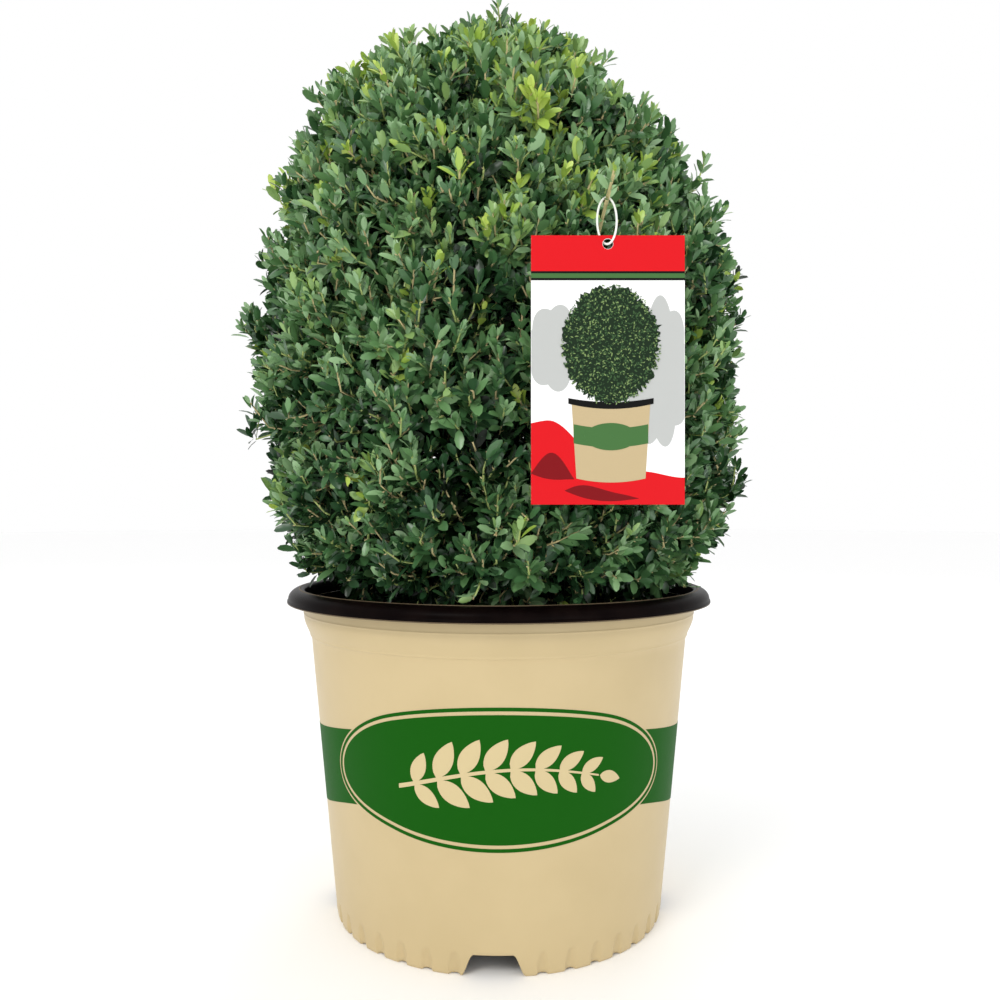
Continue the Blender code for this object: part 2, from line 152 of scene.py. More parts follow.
class PlantSettings(bpy.types.PropertyGroup):
    """Growth and colours of the boxwood."""

    seed: count_setting("Seed", "Start of the growth's random draws", 7)
    outer_shoots: count_setting("Outer shoots", "Sprays on the outline", 4100)
    middle_shoots: count_setting("Middle shoots", "Sprays just behind them", 2300)
    inner_shoots: count_setting("Inner shoots", "Sprays deep in the crown", 1000)
    tuft_size: count_setting("Tuft size", "Sprays that share a branch", 22)
    leaf_length: length_setting("Leaf length", "A full-grown leaf", 0.0106)
    leaf_width: FloatProperty(name="Leaf width", description="Width as a share of length",
                              default=0.44)
    shoot_radius: length_setting("Shoot radius", "A shoot where it leaves its branch", 0.00095)
    bark: colour_setting("Bark", "Ridges of the bark", 140, 116, 88)
    bark_shade: colour_setting("Bark shade", "Furrows of the bark", 62, 46, 32)
    twig: colour_setting("Twig", "Woody twigs", 196, 182, 132)
    green_shoot: colour_setting("Green shoot", "Young shoots", 172, 188, 112)
    bud: colour_setting("Bud", "Buds and nodes", 205, 188, 140)
    leaf_0: colour_setting("Deep shade", "Innermost leaves", 8, 20, 8)
    leaf_1: colour_setting("Shade", "Leaves in shade", 20, 44, 18)
    leaf_2: colour_setting("Bottle green", "Oldest outer leaves", 40, 74, 43)
    leaf_3: colour_setting("Dark green", "Older leaves", 66, 106, 63)
    leaf_4: colour_setting("Leaf green", "Common leaves", 97, 138, 86)
    leaf_5: colour_setting("Grey green", "Pale, bloomy leaves", 136, 172, 122)
    leaf_6: colour_setting("Fresh green", "This year's leaves", 138, 172, 100)
    leaf_7: colour_setting("Spring green", "Young leaves", 161, 190, 80)
    leaf_8: colour_setting("Lime", "Newest leaves", 184, 206, 92)


class LabelSettings(bpy.types.PropertyGroup):
    """Colours of the plant label and its tie."""

    card: colour_setting("Card", "White plastic card", 246, 246, 246)
    red: colour_setting("Red", "Heading and ground", 208, 22, 30)
    dark_red: colour_setting("Dark red", "Folds of the ground", 122, 16, 22)
    black: colour_setting("Black", "Rules", 14, 14, 14)
    green: colour_setting("Green", "Stripe and band", 68, 108, 60)
    cloud: colour_setting("Cloud", "Pale clouds", 180, 182, 180)
    cream: colour_setting("Cream", "Pictured pot", 186, 167, 130)
    shrub_dark: colour_setting("Shrub dark", "Pictured shrub in shade", 28, 44, 28)
    shrub_green: colour_setting("Shrub green", "Pictured leaves", 62, 90, 56)
    shrub_light: colour_setting("Shrub light", "Pictured leaves in light", 122, 146, 92)
    tie: colour_setting("Tie", "White elastic", 236, 236, 230)


# ---------------------------------------------------------------- arrays and meshes

def unit(vectors):
    """Vectors divided by their own length."""
    return vectors / np.maximum(np.linalg.norm(vectors, axis=-1, keepdims=True), 1e-12)


def smooth_step(value):
    """A ramp from 0 to 1 that starts and ends level: three squares less two cubes."""
    ramp = np.clip(value, 0.0, 1.0)
    return ramp * ramp * (3.0 - 2.0 * ramp)


def turned(radius, turn, height):
    """Points at a radius and a turn about the Z axis, at a height."""
    radius, turn, height = np.broadcast_arrays(radius, turn, height)
    return np.stack([radius * np.cos(turn), radius * np.sin(turn), height], axis=-1)


def ripples(points, wavelength, seed, waves=14):
    """Soft noise of spread 1: a sum of plane waves in random directions and phases."""
    draw = np.random.default_rng(seed)
    directions = unit(draw.normal(size=(waves, 3)))
    pitch = FULL_TURN / (wavelength * draw.uniform(0.7, 1.5, waves))
    phase = draw.uniform(0.0, FULL_TURN, waves)
    swing = np.sin((points @ directions.T) * pitch + phase)
    return swing.sum(axis=-1) * math.sqrt(2.0 / waves)


def grid_faces(rows, columns, close_rows=False, close_columns=False):
    """Quads between neighbours of a grid; a closed way joins its last line to its first."""
    row = np.arange(rows if close_rows else rows - 1)
    column = np.arange(columns if close_columns else columns - 1)
    row, column = (part.ravel() for part in np.meshgrid(row, column, indexing="ij"))
    above, aside = (row + 1) % rows, (column + 1) % columns
    return np.stack([row * columns + column, row * columns + aside,
                     above * columns + aside, above * columns + column], axis=-1)


def repeated_faces(faces, points_each, count):
    """The same faces for each of count copies of a shape of points_each points."""
    shift = np.arange(count)[:, None, None] * points_each
    return (faces[None] + shift).reshape(-1, faces.shape[1])


def fan_faces(ring, middle):
    """Triangles from each point of a closed ring and the next one to a middle point."""
    return np.stack([ring, np.roll(ring, -1), np.full(len(ring), middle)], axis=-1)


def make_piece(name, points, face_sets, finish, nodes=(), smooth=True, crease=None):
    """Put arrays of points and faces into a mesh object that rides on the root body."""
    face_sets = [faces for faces in face_sets if len(faces)]
    sizes = np.concatenate([np.full(len(faces), faces.shape[1]) for faces in face_sets])
    corners = np.concatenate([faces.ravel() for faces in face_sets])
    mesh = bpy.data.meshes.new(name)
    points = points.reshape(-1, 3)
    mesh.vertices.add(len(points))
    mesh.vertices.foreach_set("co", points.astype(np.float32).ravel())
    mesh.loops.add(len(corners))
    mesh.loops.foreach_set("vertex_index", corners.astype(np.int32))
    mesh.polygons.add(len(sizes))
    mesh.polygons.foreach_set("loop_start", (np.cumsum(sizes) - sizes).astype(np.int32))
    mesh.polygons.foreach_set("use_smooth", np.full(len(sizes), smooth))
    mesh.update(calc_edges=True)
    mesh.validate()
    if crease is not None:
        mesh.set_sharp_from_angle(angle=math.radians(crease))
    mesh.materials.append(finish)
    piece = bpy.data.objects.new(name, mesh)
    bpy.context.scene.collection.objects.link(piece)
    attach(piece, "root")
    if nodes:
        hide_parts(*nodes)


def close_layer(front, back, faces):
    """Points and faces of a thin closed layer: its front, its back turned over, and a rim.

    The rim joins the edges that only one face of the front uses.
    """
    count = front.reshape(-1, 3).shape[0]
    edges = np.concatenate([np.stack([part.ravel(), np.roll(part, -1, axis=1).ravel()], axis=-1)
                            for part in faces])
    lone = ~np.isin(edges[:, 0] * count + edges[:, 1], edges[:, 1] * count + edges[:, 0])
    start, end = edges[lone].T
    rim = np.stack([end, start, start + count, end + count], axis=-1)
    turned_over = [part[:, ::-1] + count for part in faces]
    points = np.concatenate([front.reshape(-1, 3), back.reshape(-1, 3)])
    return points, [*faces, *turned_over, rim]


def bend_along(controls, along):
    """Cubic curves: four control points each, weighted by the Bernstein polynomials."""
    t = along[..., None]
    start, lead, trail, end = (controls[..., None, index, :] for index in range(4))
    return (start * (1 - t) ** 3 + lead * 3 * t * (1 - t) ** 2
            + trail * 3 * t ** 2 * (1 - t) + end * t ** 3)


def heading_along(controls, along):
    """Unit tangents of the same cubic curves."""
    t = along[..., None]
    start, lead, trail, end = (controls[..., None, index, :] for index in range(4))
    return unit((lead - start) * (1 - t) ** 2 + (trail - lead) * 2 * t * (1 - t)
                + (end - trail) * t ** 2)


def tubes(middles, radii, sides):
    """Round tubes along rows of middles: rings square to the path, closed at both ends."""
    heading = unit(np.gradient(middles, axis=1))
    whole = unit(middles[:, -1] - middles[:, 0])
    seed = np.where(np.abs(whole[:, 2:]) > 0.8, [[1.0, 0.0, 0.0]], [[0.0, 0.0, 1.0]])
    across = unit(np.cross(np.cross(heading, seed[:, None]), heading))
    other = np.cross(heading, across)
    angle = np.arange(sides) * FULL_TURN / sides
    spoke = (across[:, :, None] * np.cos(angle)[:, None]
             + other[:, :, None] * np.sin(angle)[:, None])
    points = middles[:, :, None] + spoke * radii[:, :, None, None]
    count, rings = middles.shape[:2]
    walls = repeated_faces(grid_faces(rings, sides, close_columns=True), rings * sides, count)
    start = np.arange(sides)[::-1][None]
    end = (rings - 1) * sides + np.arange(sides)[None]
    caps = repeated_faces(np.concatenate([start, end]), rings * sides, count)
    return points.reshape(-1, 3), [walls, caps]


# ---------------------------------------------------------------- finishes

def plain_finish(name, colour, roughness, specular=0.5):
    """One even colour with one even gloss."""
    material = bpy.data.materials.new(name)
    material.use_nodes = True
    shader = material.node_tree.nodes["Principled BSDF"]
    shader.inputs["Base Color"].default_value = (*colour, 1.0)
    shader.inputs["Roughness"].default_value = roughness
    shader.inputs["Specular IOR Level"].default_value = specular
    return material


def add_node(material, kind, **values):
    """A shader node with some of its sockets set."""
    node = material.node_tree.nodes.new(kind)
    for socket, value in values.items():
        node.inputs[socket.replace("_", " ")].default_value = value
    return node


def mottled_finish(name, light, dark, patch, grain, relief, roughness, stretch=(1, 1, 1),
                   specular=0.5):
    """Soft patches between two shades, with a finer grain that lifts the surface.

    patch and grain are sizes in metres, relief is the grain's height, and stretch squeezes
    the pattern along each axis.
    """
    material = plain_finish(name, light, roughness[0], specular)
    links = material.node_tree.links
    shader = material.node_tree.nodes["Principled BSDF"]
    place = add_node(material, "ShaderNodeTexCoord")
    squeeze = add_node(material, "ShaderNodeMapping", Scale=stretch)
    links.new(place.outputs["Object"], squeeze.inputs["Vector"])
    fine = add_node(material, "ShaderNodeTexNoise", Scale=1.0 / grain, Detail=4.0)
    links.new(squeeze.outputs["Vector"], fine.inputs["Vector"])
    if tuple(light) != tuple(dark):
        patches = add_node(material, "ShaderNodeTexNoise", Scale=1.0 / patch, Detail=5.0)
        links.new(squeeze.outputs["Vector"], patches.inputs["Vector"])
        ramp = add_node(material, "ShaderNodeValToRGB")
        ramp.color_ramp.elements[0].position = 0.36
        ramp.color_ramp.elements[1].position = 0.64
        ramp.color_ramp.elements[0].color = (*dark, 1.0)
        ramp.color_ramp.elements[1].color = (*light, 1.0)
        links.new(patches.outputs["Fac"], ramp.inputs["Fac"])
        links.new(ramp.outputs["Color"], shader.inputs["Base Color"])
    gloss = add_node(material, "ShaderNodeMapRange", To_Min=roughness[0], To_Max=roughness[1])
    links.new(fine.outputs["Fac"], gloss.inputs["Value"])
    links.new(gloss.outputs["Result"], shader.inputs["Roughness"])
    bump = add_node(material, "ShaderNodeBump", Strength=1.0, Distance=relief)
    links.new(fine.outputs["Fac"], bump.inputs["Height"])
    links.new(bump.outputs["Normal"], shader.inputs["Normal"])
    return material


# ---------------------------------------------------------------- stage

def add_light(name, place, aim, size, power, colour):
    """A square soft light that faces a point."""
    lamp = bpy.data.lights.new(name, "AREA")
    lamp.size = size
    lamp.energy = power
    lamp.color = colour
    light = bpy.data.objects.new(name, lamp)
    light.location = place
    light.rotation_euler = (Vector(aim) - Vector(place)).to_track_quat("-Z", "Y").to_euler()
    bpy.context.scene.collection.objects.link(light)


class TOPIARY_OT_stage(bpy.types.Operator):
    """Set out the floor, the soft lights, the white surroundings and the camera"""

    bl_idname = "topiary.stage"
    bl_label = "Stage"

    aim = (0.0, 0.0, 0.32)
    # name, place, breadth, power in watts and colour of each light
    lights = (("key light", (-0.9, -1.6, 1.7), 0.7, 16.0, (1.0, 0.99, 0.96)),
              ("low light", (1.1, -1.7, 0.22), 0.8, 5.0, (0.94, 0.97, 1.0)),
              ("back light", (0.6, 1.9, 1.6), 1.2, 9.0, (0.96, 0.98, 1.0)))

    def execute(self, context):
        stage = context.scene.topiary_stage
        self.floor(context.scene, stage)
        self.surroundings(context.scene, stage)
        for name, place, breadth, power, colour in self.lights:
            add_light(name, place, self.aim, breadth, power, colour)
        self.camera(context.scene, stage)
        context.scene.view_settings.view_transform = "Standard"
        return {"FINISHED"}

    def floor(self, scene, stage):
        """A level disc: rings whose radius grows as a square, and a fan at the middle."""
        rings, spokes = 23, 96
        turn = np.linspace(0.0, FULL_TURN, spokes, endpoint=False)
        reach = np.linspace(0.0, 1.0, rings + 1)[1:] ** 2 * stage.floor_radius
        disc = turned(reach[:, None], turn[None], 0.0)
        points = np.concatenate([disc.reshape(-1, 3), np.zeros((1, 3))])
        walls = grid_faces(rings, spokes, close_columns=True)[:, ::-1]
        fan = fan_faces(np.arange(spokes), rings * spokes)
        mesh = bpy.data.meshes.new("floor")
        mesh.from_pydata(points.tolist(), [], walls.tolist() + fan.tolist())
        mesh.materials.append(mottled_finish("floor", stage.floor_colour, stage.floor_colour,
                                             0.8, 0.02, 0.00005, (0.75, 0.85)))
        floor = bpy.data.objects.new("floor", mesh)
        scene.collection.objects.link(floor)

    def surroundings(self, scene, stage):
        """Even white light from all round."""
        world = bpy.data.worlds.new("white surroundings")
        world.use_nodes = True
        background = world.node_tree.nodes["Background"]
        background.inputs["Color"].default_value = (1.0, 1.0, 1.0, 1.0)
        background.inputs["Strength"].default_value = stage.sky
        scene.world = world

    def camera(self, scene, stage):
        """A level camera in front of the plant, its view raised by a small lens shift."""
        lens = bpy.data.cameras.new("camera")
        lens.lens = stage.lens
        lens.shift_y = stage.lens_shift
        lens.sensor_width = 36.0
        lens.clip_start = 0.01
        lens.clip_end = 50.0
        camera = bpy.data.objects.new("camera", lens)
        camera.location = (stage.camera_aside, -stage.camera_distance, stage.camera_height)
        camera.rotation_euler = (math.pi / 2.0, 0.0, 0.0)
        scene.collection.objects.link(camera)
        scene.camera = camera


# ---------------------------------------------------------------- pot

# heights of two faint moulded ridges round the wall, their rise and their breadth
RIDGES = (0.1820, 0.1960)
RIDGE_RISE = 0.00032
RIDGE_BREADTH = 0.0006

# how far the drain notches are turned from the front
NOTCH_TURN = math.radians(-1.6)


def wall_radius(pot, height):
    """Outer radius of the wall: a straight taper, an S-shaped shoulder, a straight collar.

    The two moulded ridges, each a bell curve, run round the shoulder and the collar.
    """
    taper = pot.base_radius + (pot.shoulder_radius - pot.base_radius) * height / pot.shoulder_height
    rise = smooth_step((height - pot.shoulder_height) / (pot.collar_bottom - pot.shoulder_height))
    radius = np.where(height < pot.shoulder_height, taper,
                      pot.shoulder_radius + (pot.collar_radius - pot.shoulder_radius) * rise)
    for ridge in RIDGES:
        radius = radius + RIDGE_RISE * np.exp(-((height - ridge) / RIDGE_BREADTH) ** 2)
    return radius


def flute_shape(pot, turn, height):
    """Depth, from 0 to 1, of the grooves of the foot: each the upper half of an ellipsoid.

    half_width is a share of the grooves' pitch. Beside a drain notch they fade out.
    """
    half_width = 0.20
    fade = 0.004
    phase = (turn - FRONT) / FULL_TURN * pot.flutes + 0.5
    aside = np.abs(phase - np.round(phase)) / half_width
    groove = np.clip(1.0 - aside ** 2 - (height / pot.flute_height) ** 2, 0.0, 1.0)
    return np.sqrt(groove) * (1.0 - smooth_step(drain_rise(pot, turn) / fade))


def drain_rise(pot, turn):
    """Height of the foot's lower edge: a trapezoid with soft corners at each quarter turn."""
    quarter = (turn - FRONT - NOTCH_TURN) / (FULL_TURN / 4.0)
    aside = np.abs(quarter - np.round(quarter)) * (FULL_TURN / 4.0) * pot.base_radius
    flank = (pot.drain_bottom / 2.0 - aside) / ((pot.drain_bottom - pot.drain_top) / 2.0)
    start = 0.04
    return pot.drain_height * smooth_step(start + (1.0 - start) * flank)


class TOPIARY_OT_pot_wall(bpy.types.Operator):
    """Mould the cream wall with its shoulder, grooved foot and drain notches, and line it"""

    bl_idname = "topiary.pot_wall"
    bl_label = "Pot wall and lining"

    skin = 0.0010
    lining = 0.0010
    gap = 0.0001
    top = RIM_LOW[2] - 0.00006
    under_ridge = RIDGES[0] - 0.0020

    def execute(self, context):
        pot = context.scene.topiary_pot
        turn = np.linspace(0.0, FULL_TURN, 14 * pot.flutes, endpoint=False)
        around = np.ones(len(turn))
        nick = 0.0009
        edge = drain_rise(pot, turn) + nick * flute_shape(pot, turn, 0.0)
        outer, outer_level = self.outside(pot, turn, edge)

        ledge = FLOOR_LOW[2] - 0.0004
        inside = np.concatenate([[self.top], np.linspace(pot.collar_bottom, self.under_ridge, 5),
                                 [pot.shoulder_height, ledge + 0.0010]])[:, None]
        inner = (wall_radius(pot, inside) - self.skin) * around

        foot_level = np.array([ledge, ledge - 0.0004, 0.0006, 0.0])[:, None]
        foot_level = np.minimum(foot_level + edge, ledge)
        foot_bevel = np.array([0.0004, 0.0, 0.0, 0.0006])[:, None]
        foot = (pot.base_radius - pot.foot_width + foot_bevel) * around

        points = turned(np.concatenate([outer, inner, foot]), turn[None],
                        np.concatenate([outer_level, inside * around, foot_level]))
        cream = mottled_finish("cream plastic", pot.cream, pot.cream_shade, 0.045, 0.0011,
                               0.00002, (0.34, 0.46), specular=0.35)
        make_piece("pot_cream_wall", points,
                   [grid_faces(len(points), len(turn), close_rows=True, close_columns=True)],
                   cream, ["pot_wall"], crease=38)
        self.line(pot, turn[::4])
        return {"FINISHED"}

    def outside(self, pot, turn, edge):
        """Radii and levels of the outer face, whose low rows rise with the foot's edge.

        Rows are set close over the grooves and the ridges, and the foot is rounded under.
        """
        near = 0.0010
        low_ridge, high_ridge = RIDGES
        height = np.concatenate([
            [0.0, 0.0005, 0.0012], np.linspace(0.0025, 0.0275, 19),
            np.linspace(0.035, pot.shoulder_height, 16),
            np.linspace(pot.shoulder_height + near, low_ridge - 0.0014, 4),
            np.linspace(low_ridge - near, low_ridge + near, 9),
            np.linspace(low_ridge + 2.0 * near, pot.collar_bottom, 10),
            np.linspace(high_ridge - near, high_ridge + near, 9),
            np.linspace(high_ridge + 0.0018, self.top, 5),
        ])[:, None]
        blend = 0.030
        level = height + edge * np.clip(1.0 - height / blend, 0.0, 1.0)
        rounding = 0.0009 * np.exp(-height / 0.0007)
        groove = pot.flute_depth * flute_shape(pot, turn, height)
        return wall_radius(pot, level) - rounding - groove, level

    def line(self, pot, turn):
        """Black inner layer: the wall's profile, set in by the cream skin."""
        floor = FLOOR_HIGH[2] + 0.0004
        height = np.concatenate([[floor], np.linspace(0.03, pot.shoulder_height, 6),
                                 np.linspace(self.under_ridge, pot.collar_bottom, 6), [self.top]])
        outer = wall_radius(pot, height) - self.skin - self.gap
        radius = np.concatenate([outer, outer[::-1] - self.lining])
        level = np.concatenate([height, height[::-1]])
        black = mottled_finish("black lining", pot.black, pot.black_shade, 0.02, 0.0009,
                               0.00004, (0.35, 0.55), specular=0.02)
        make_piece("pot_black_lining", turned(radius[:, None], turn[None], level[:, None]),
                   [grid_faces(len(level), len(turn), close_rows=True, close_columns=True)],
                   black, ["pot_wall"], crease=38)
        floor_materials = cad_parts["pot_floor"].data.materials
        floor_materials.clear()
        floor_materials.append(black)


class TOPIARY_OT_pot_rim(bpy.types.Operator):
    """Roll the black rim, with its rounded crest, sloping face and thin lower lip"""

    bl_idname = "topiary.pot_rim"
    bl_label = "Pot rim"

    def execute(self, context):
        pot = context.scene.topiary_pot
        low, high, reach = RIM_LOW[2], RIM_HIGH[2], RIM_HIGH[0]
        mouth = 0.1285
        roll = 0.0016
        crest = mouth + roll + 0.0009
        lip = low + 0.0026
        step = 0.0006
        radius, level = self.profile(low, high, reach, mouth, roll, crest, lip, step)
        turn = np.linspace(0.0, FULL_TURN, 256, endpoint=False)
        wobble = 0.00012 * np.sin(3.0 * turn + 0.7) + 0.00008 * np.sin(7.0 * turn)
        wobble = wobble * smooth_step((level[:, None] - low) / 0.004)
        points = turned(radius[:, None], turn[None], level[:, None] - np.abs(wobble))
        finish = mottled_finish("black rim", pot.black, pot.black_shade, 0.016, 0.0007,
                                0.00004, (0.26, 0.40), specular=0.02)
        faces = grid_faces(len(level), len(turn), close_rows=True, close_columns=True)
        make_piece("pot_rolled_rim", points, [faces[:, ::-1]], finish,
                   ["pot_rim"], crease=50)
        # painted highlight: the crest and lip beads are a paler tan than the black rim, standing in
        # for the glints along its edges
        highlight_finish = plain_finish("painted rim highlight", pot.rim_highlight_colour, 0.5, specular=0.1)
        self.bead("pot_rim_crest", crest + 0.0005, high - 0.00050, 0.00070, highlight_finish, turn)
        self.bead("pot_rim_lip", reach - 0.0004, low + 0.00045, 0.00048, highlight_finish, turn)
        return {"FINISHED"}

    def profile(self, low, high, reach, mouth, roll, crest, lip, step):
        """Radii and levels of the rim's section, up its mouth and down its outer face.

        The mouth is upright, the crest is an arc of radius roll, and the face is a quarter of
        an ellipse down to the lip, which steps out by step before it turns under.
        """
        over = np.linspace(math.pi, 0.55 * math.pi, 7)
        slope = np.linspace(0.5 * math.pi, 0.0, 12)
        radius = np.concatenate([
            [mouth, mouth], crest - step / 2.0 + (roll + step) * np.cos(over),
            crest + (reach - step - crest) * np.cos(slope),
            [reach - step, reach - step / 2.0, reach, reach, reach - 0.0004, reach - 0.0014],
        ])
        level = np.concatenate([
            [low, low + 0.004], high - roll + roll * np.sin(over),
            lip + (high - lip) * np.sin(slope),
            [lip - 0.0005, lip - 0.0008, lip - 0.0011, low + 0.0005, low + 0.0001, low],
        ])
        return radius, level

    def bead(self, name, middle, height, size, finish, turn):
        """A thin round bead along the rim: a circle carried round the pot."""
        sides = 8
        angle = np.linspace(0.0, FULL_TURN, sides, endpoint=False)[:, None]
        points = turned(middle + size * np.cos(angle), turn[None], height + size * np.sin(angle))
        faces = grid_faces(sides, len(turn), close_rows=True, close_columns=True)
        make_piece(name, points, [faces], finish, ["pot_rim"])


def from_front(turn):
    """Angle between a turn and the front, from 0 to half a turn."""
    return np.abs(np.angle(np.exp(1j * (turn - FRONT))))


def print_middle(pot, turn):
    """Height of the print's centre line, which sinks a little towards the pot's sides."""
    droop = 0.0155
    level_part, sinking_part = math.radians(30.0), math.radians(62.0)
    return pot.oval_middle - droop * smooth_step((from_front(turn) - level_part) / sinking_part)


def on_wall(pot, turn, height, lift):
    """Points on the pot's wall, lifted off it by the thickness of the ink."""
    return turned(wall_radius(pot, height) + lift, turn, height)


class TOPIARY_OT_pot_print(bpy.types.Operator):
    """Print the green band, the oval with its ring, and a plain sprig of leaves"""

    bl_idname = "topiary.pot_print"
    bl_label = "Pot print"

    ink = 0.00015
    oval_reach = math.radians(54.0)
    ring_width = 0.0021
    ring_gap = 0.0021

    def oval(self, pot, inset, angle):
        """Turn and height of an ellipse inside the oval, by its own angle."""
        radius = wall_radius(pot, np.float64(pot.oval_middle))
        turn = FRONT + (self.oval_reach - inset / radius) * np.cos(angle)
        height = (pot.oval_height / 2.0 - inset) * np.sin(angle)
        return turn, print_middle(pot, turn) + height

    def execute(self, context):
        pot = context.scene.topiary_pot
        green = mottled_finish("green print", pot.print_green, pot.print_green, 0.05, 0.0011,
                               0.00003, (0.45, 0.60), specular=0.06)
        cream = plain_finish("cream print", pot.print_cream, 0.42, specular=0.3)
        angle = np.linspace(0.0, FULL_TURN, 240, endpoint=False)
        turns, heights = zip(*(self.oval(pot, inset, angle)
                               for inset in np.linspace(0.0, self.ring_width, 3)))
        faces = grid_faces(3, len(angle), close_columns=True)
        self.ink_layer(pot, "print_oval_ring", np.array(turns), np.array(heights), [faces],
                       green, 1)

        inset = self.ring_width + self.ring_gap
        edge_turn, edge_height = self.oval(pot, inset, angle)
        share = np.linspace(1.0, 0.0, 16)[:-1, None]
        turn = FRONT + (edge_turn - FRONT) * share
        middle = print_middle(pot, turn)
        height = middle + (edge_height - print_middle(pot, edge_turn)) * share
        rows, columns = turn.shape
        fan = fan_faces((rows - 1) * columns + np.arange(columns), rows * columns)
        walls = grid_faces(rows, columns, close_columns=True)
        turn, height = np.append(turn, FRONT), np.append(height, pot.oval_middle)
        self.ink_layer(pot, "print_oval_field", turn, height, [walls, fan], green, 1)
        self.band(pot, green)
        self.sprig(pot, cream)
        return {"FINISHED"}

    def ink_layer(self, pot, name, turn, height, faces, finish, layers):
        """A closed layer of ink that follows the wall."""
        front = on_wall(pot, turn, height, layers * self.ink)
        back = on_wall(pot, turn, height, -self.ink)
        points, faces = close_layer(front, back, faces)
        make_piece(name, points, faces, finish, crease=35)

    def band(self, pot, green):
        """Band from one side of the oval round the back to the other, its ends cut to fit."""
        rows, columns = 33, 181
        across = np.linspace(-1.0, 1.0, rows)
        half = pot.band_height / 2.0
        margin = 0.0013
        flare = 0.11
        radius = wall_radius(pot, np.float64(pot.oval_middle))
        height = across * half / (pot.oval_height / 2.0 + margin)
        start = (self.oval_reach + margin / radius) * np.sqrt(1.0 - height ** 2)
        along = np.linspace(0.0, 1.0, columns)
        turn = FRONT + start[:, None] + along[None] * (FULL_TURN - 2.0 * start[:, None])
        towards_side = (from_front(turn) - math.radians(46.0)) / math.radians(40.0)
        widen = 1.0 + flare * smooth_step(towards_side)
        level = print_middle(pot, turn) + across[:, None] * half * widen
        self.ink_layer(pot, "print_band", turn, level, [grid_faces(rows, columns)], green, 1)

    def sprig(self, pot, cream):
        """A lying sprig: a stem bowed as part of a sine, with pairs of leaves and one at its tip.

        The leaves shrink and close up towards the tip.
        """
        radius = wall_radius(pot, np.float64(pot.oval_middle))
        steps = 40
        length, bow, drop = 0.118, 0.010, 0.004
        along = np.linspace(0.0, 1.0, steps)
        stem_x = (along - 0.5) * length
        stem_z = bow * np.sin((along - 0.1) * math.pi) - drop
        half_width = 0.0013 * (1.0 - 0.6 * along)
        sides = np.array([-1.0, 1.0])[:, None]
        flat = np.stack([np.broadcast_to(stem_x, (2, steps)), stem_z + sides * half_width],
                        axis=-1)
        self.ink_shape(pot, "print_sprig_stem", flat, grid_faces(2, steps), cream, radius)

        pairs = np.linspace(0.08, 0.90, 8)
        places = np.append(np.repeat(pairs, 2), 1.0)
        base = np.stack([np.interp(places, along, stem_x), np.interp(places, along, stem_z)], -1)
        slope = np.arctan2(np.gradient(stem_z), np.gradient(stem_x))
        open_angle = 0.95 - 0.30 * pairs
        side = np.append(np.stack([open_angle, -open_angle], axis=-1).ravel(), 0.0)
        direction = np.interp(places, along, slope) + side
        largest, tip_leaf = 0.0235, 0.0150
        size = largest * (1.0 - 0.45 * pairs ** 2) * np.where(pairs < 0.1, 0.8, 1.0)
        size = np.append(np.repeat(size, 2), tip_leaf)
        self.ink_shape(pot, "print_sprig_leaves", *self.flat_leaves(base, direction, size),
                       cream, radius)

    def flat_leaves(self, base, direction, size):
        """Flat leaves on a grid: the half width is a power of a sine, fullest near the stem."""
        steps = 13
        lengthwise = np.linspace(0.0, 1.0, steps)
        half_width = 0.24 * np.sin(math.pi * lengthwise ** 0.85) ** 0.8
        cross = np.array([-1.0, 0.0, 1.0])[:, None] * half_width
        gap = 0.06
        local_x = np.broadcast_to(lengthwise + gap, cross.shape)
        ahead = np.stack([np.cos(direction), np.sin(direction)], axis=-1)
        aside = np.stack([-ahead[:, 1], ahead[:, 0]], axis=-1)
        flat = (base[:, None, None] + size[:, None, None, None]
                * (local_x[None, ..., None] * ahead[:, None, None]
                   + cross[None, ..., None] * aside[:, None, None]))
        return flat, repeated_faces(grid_faces(3, steps), 3 * steps, len(base))

    def ink_shape(self, pot, name, flat, faces, finish, radius):
        """Lay a flat shape on the wall: its width is an arc, its height stays a height."""
        turn = FRONT + flat[..., 0] / radius
        height = print_middle(pot, turn) + flat[..., 1]
        self.ink_layer(pot, name, turn, height, [faces], finish, 2)


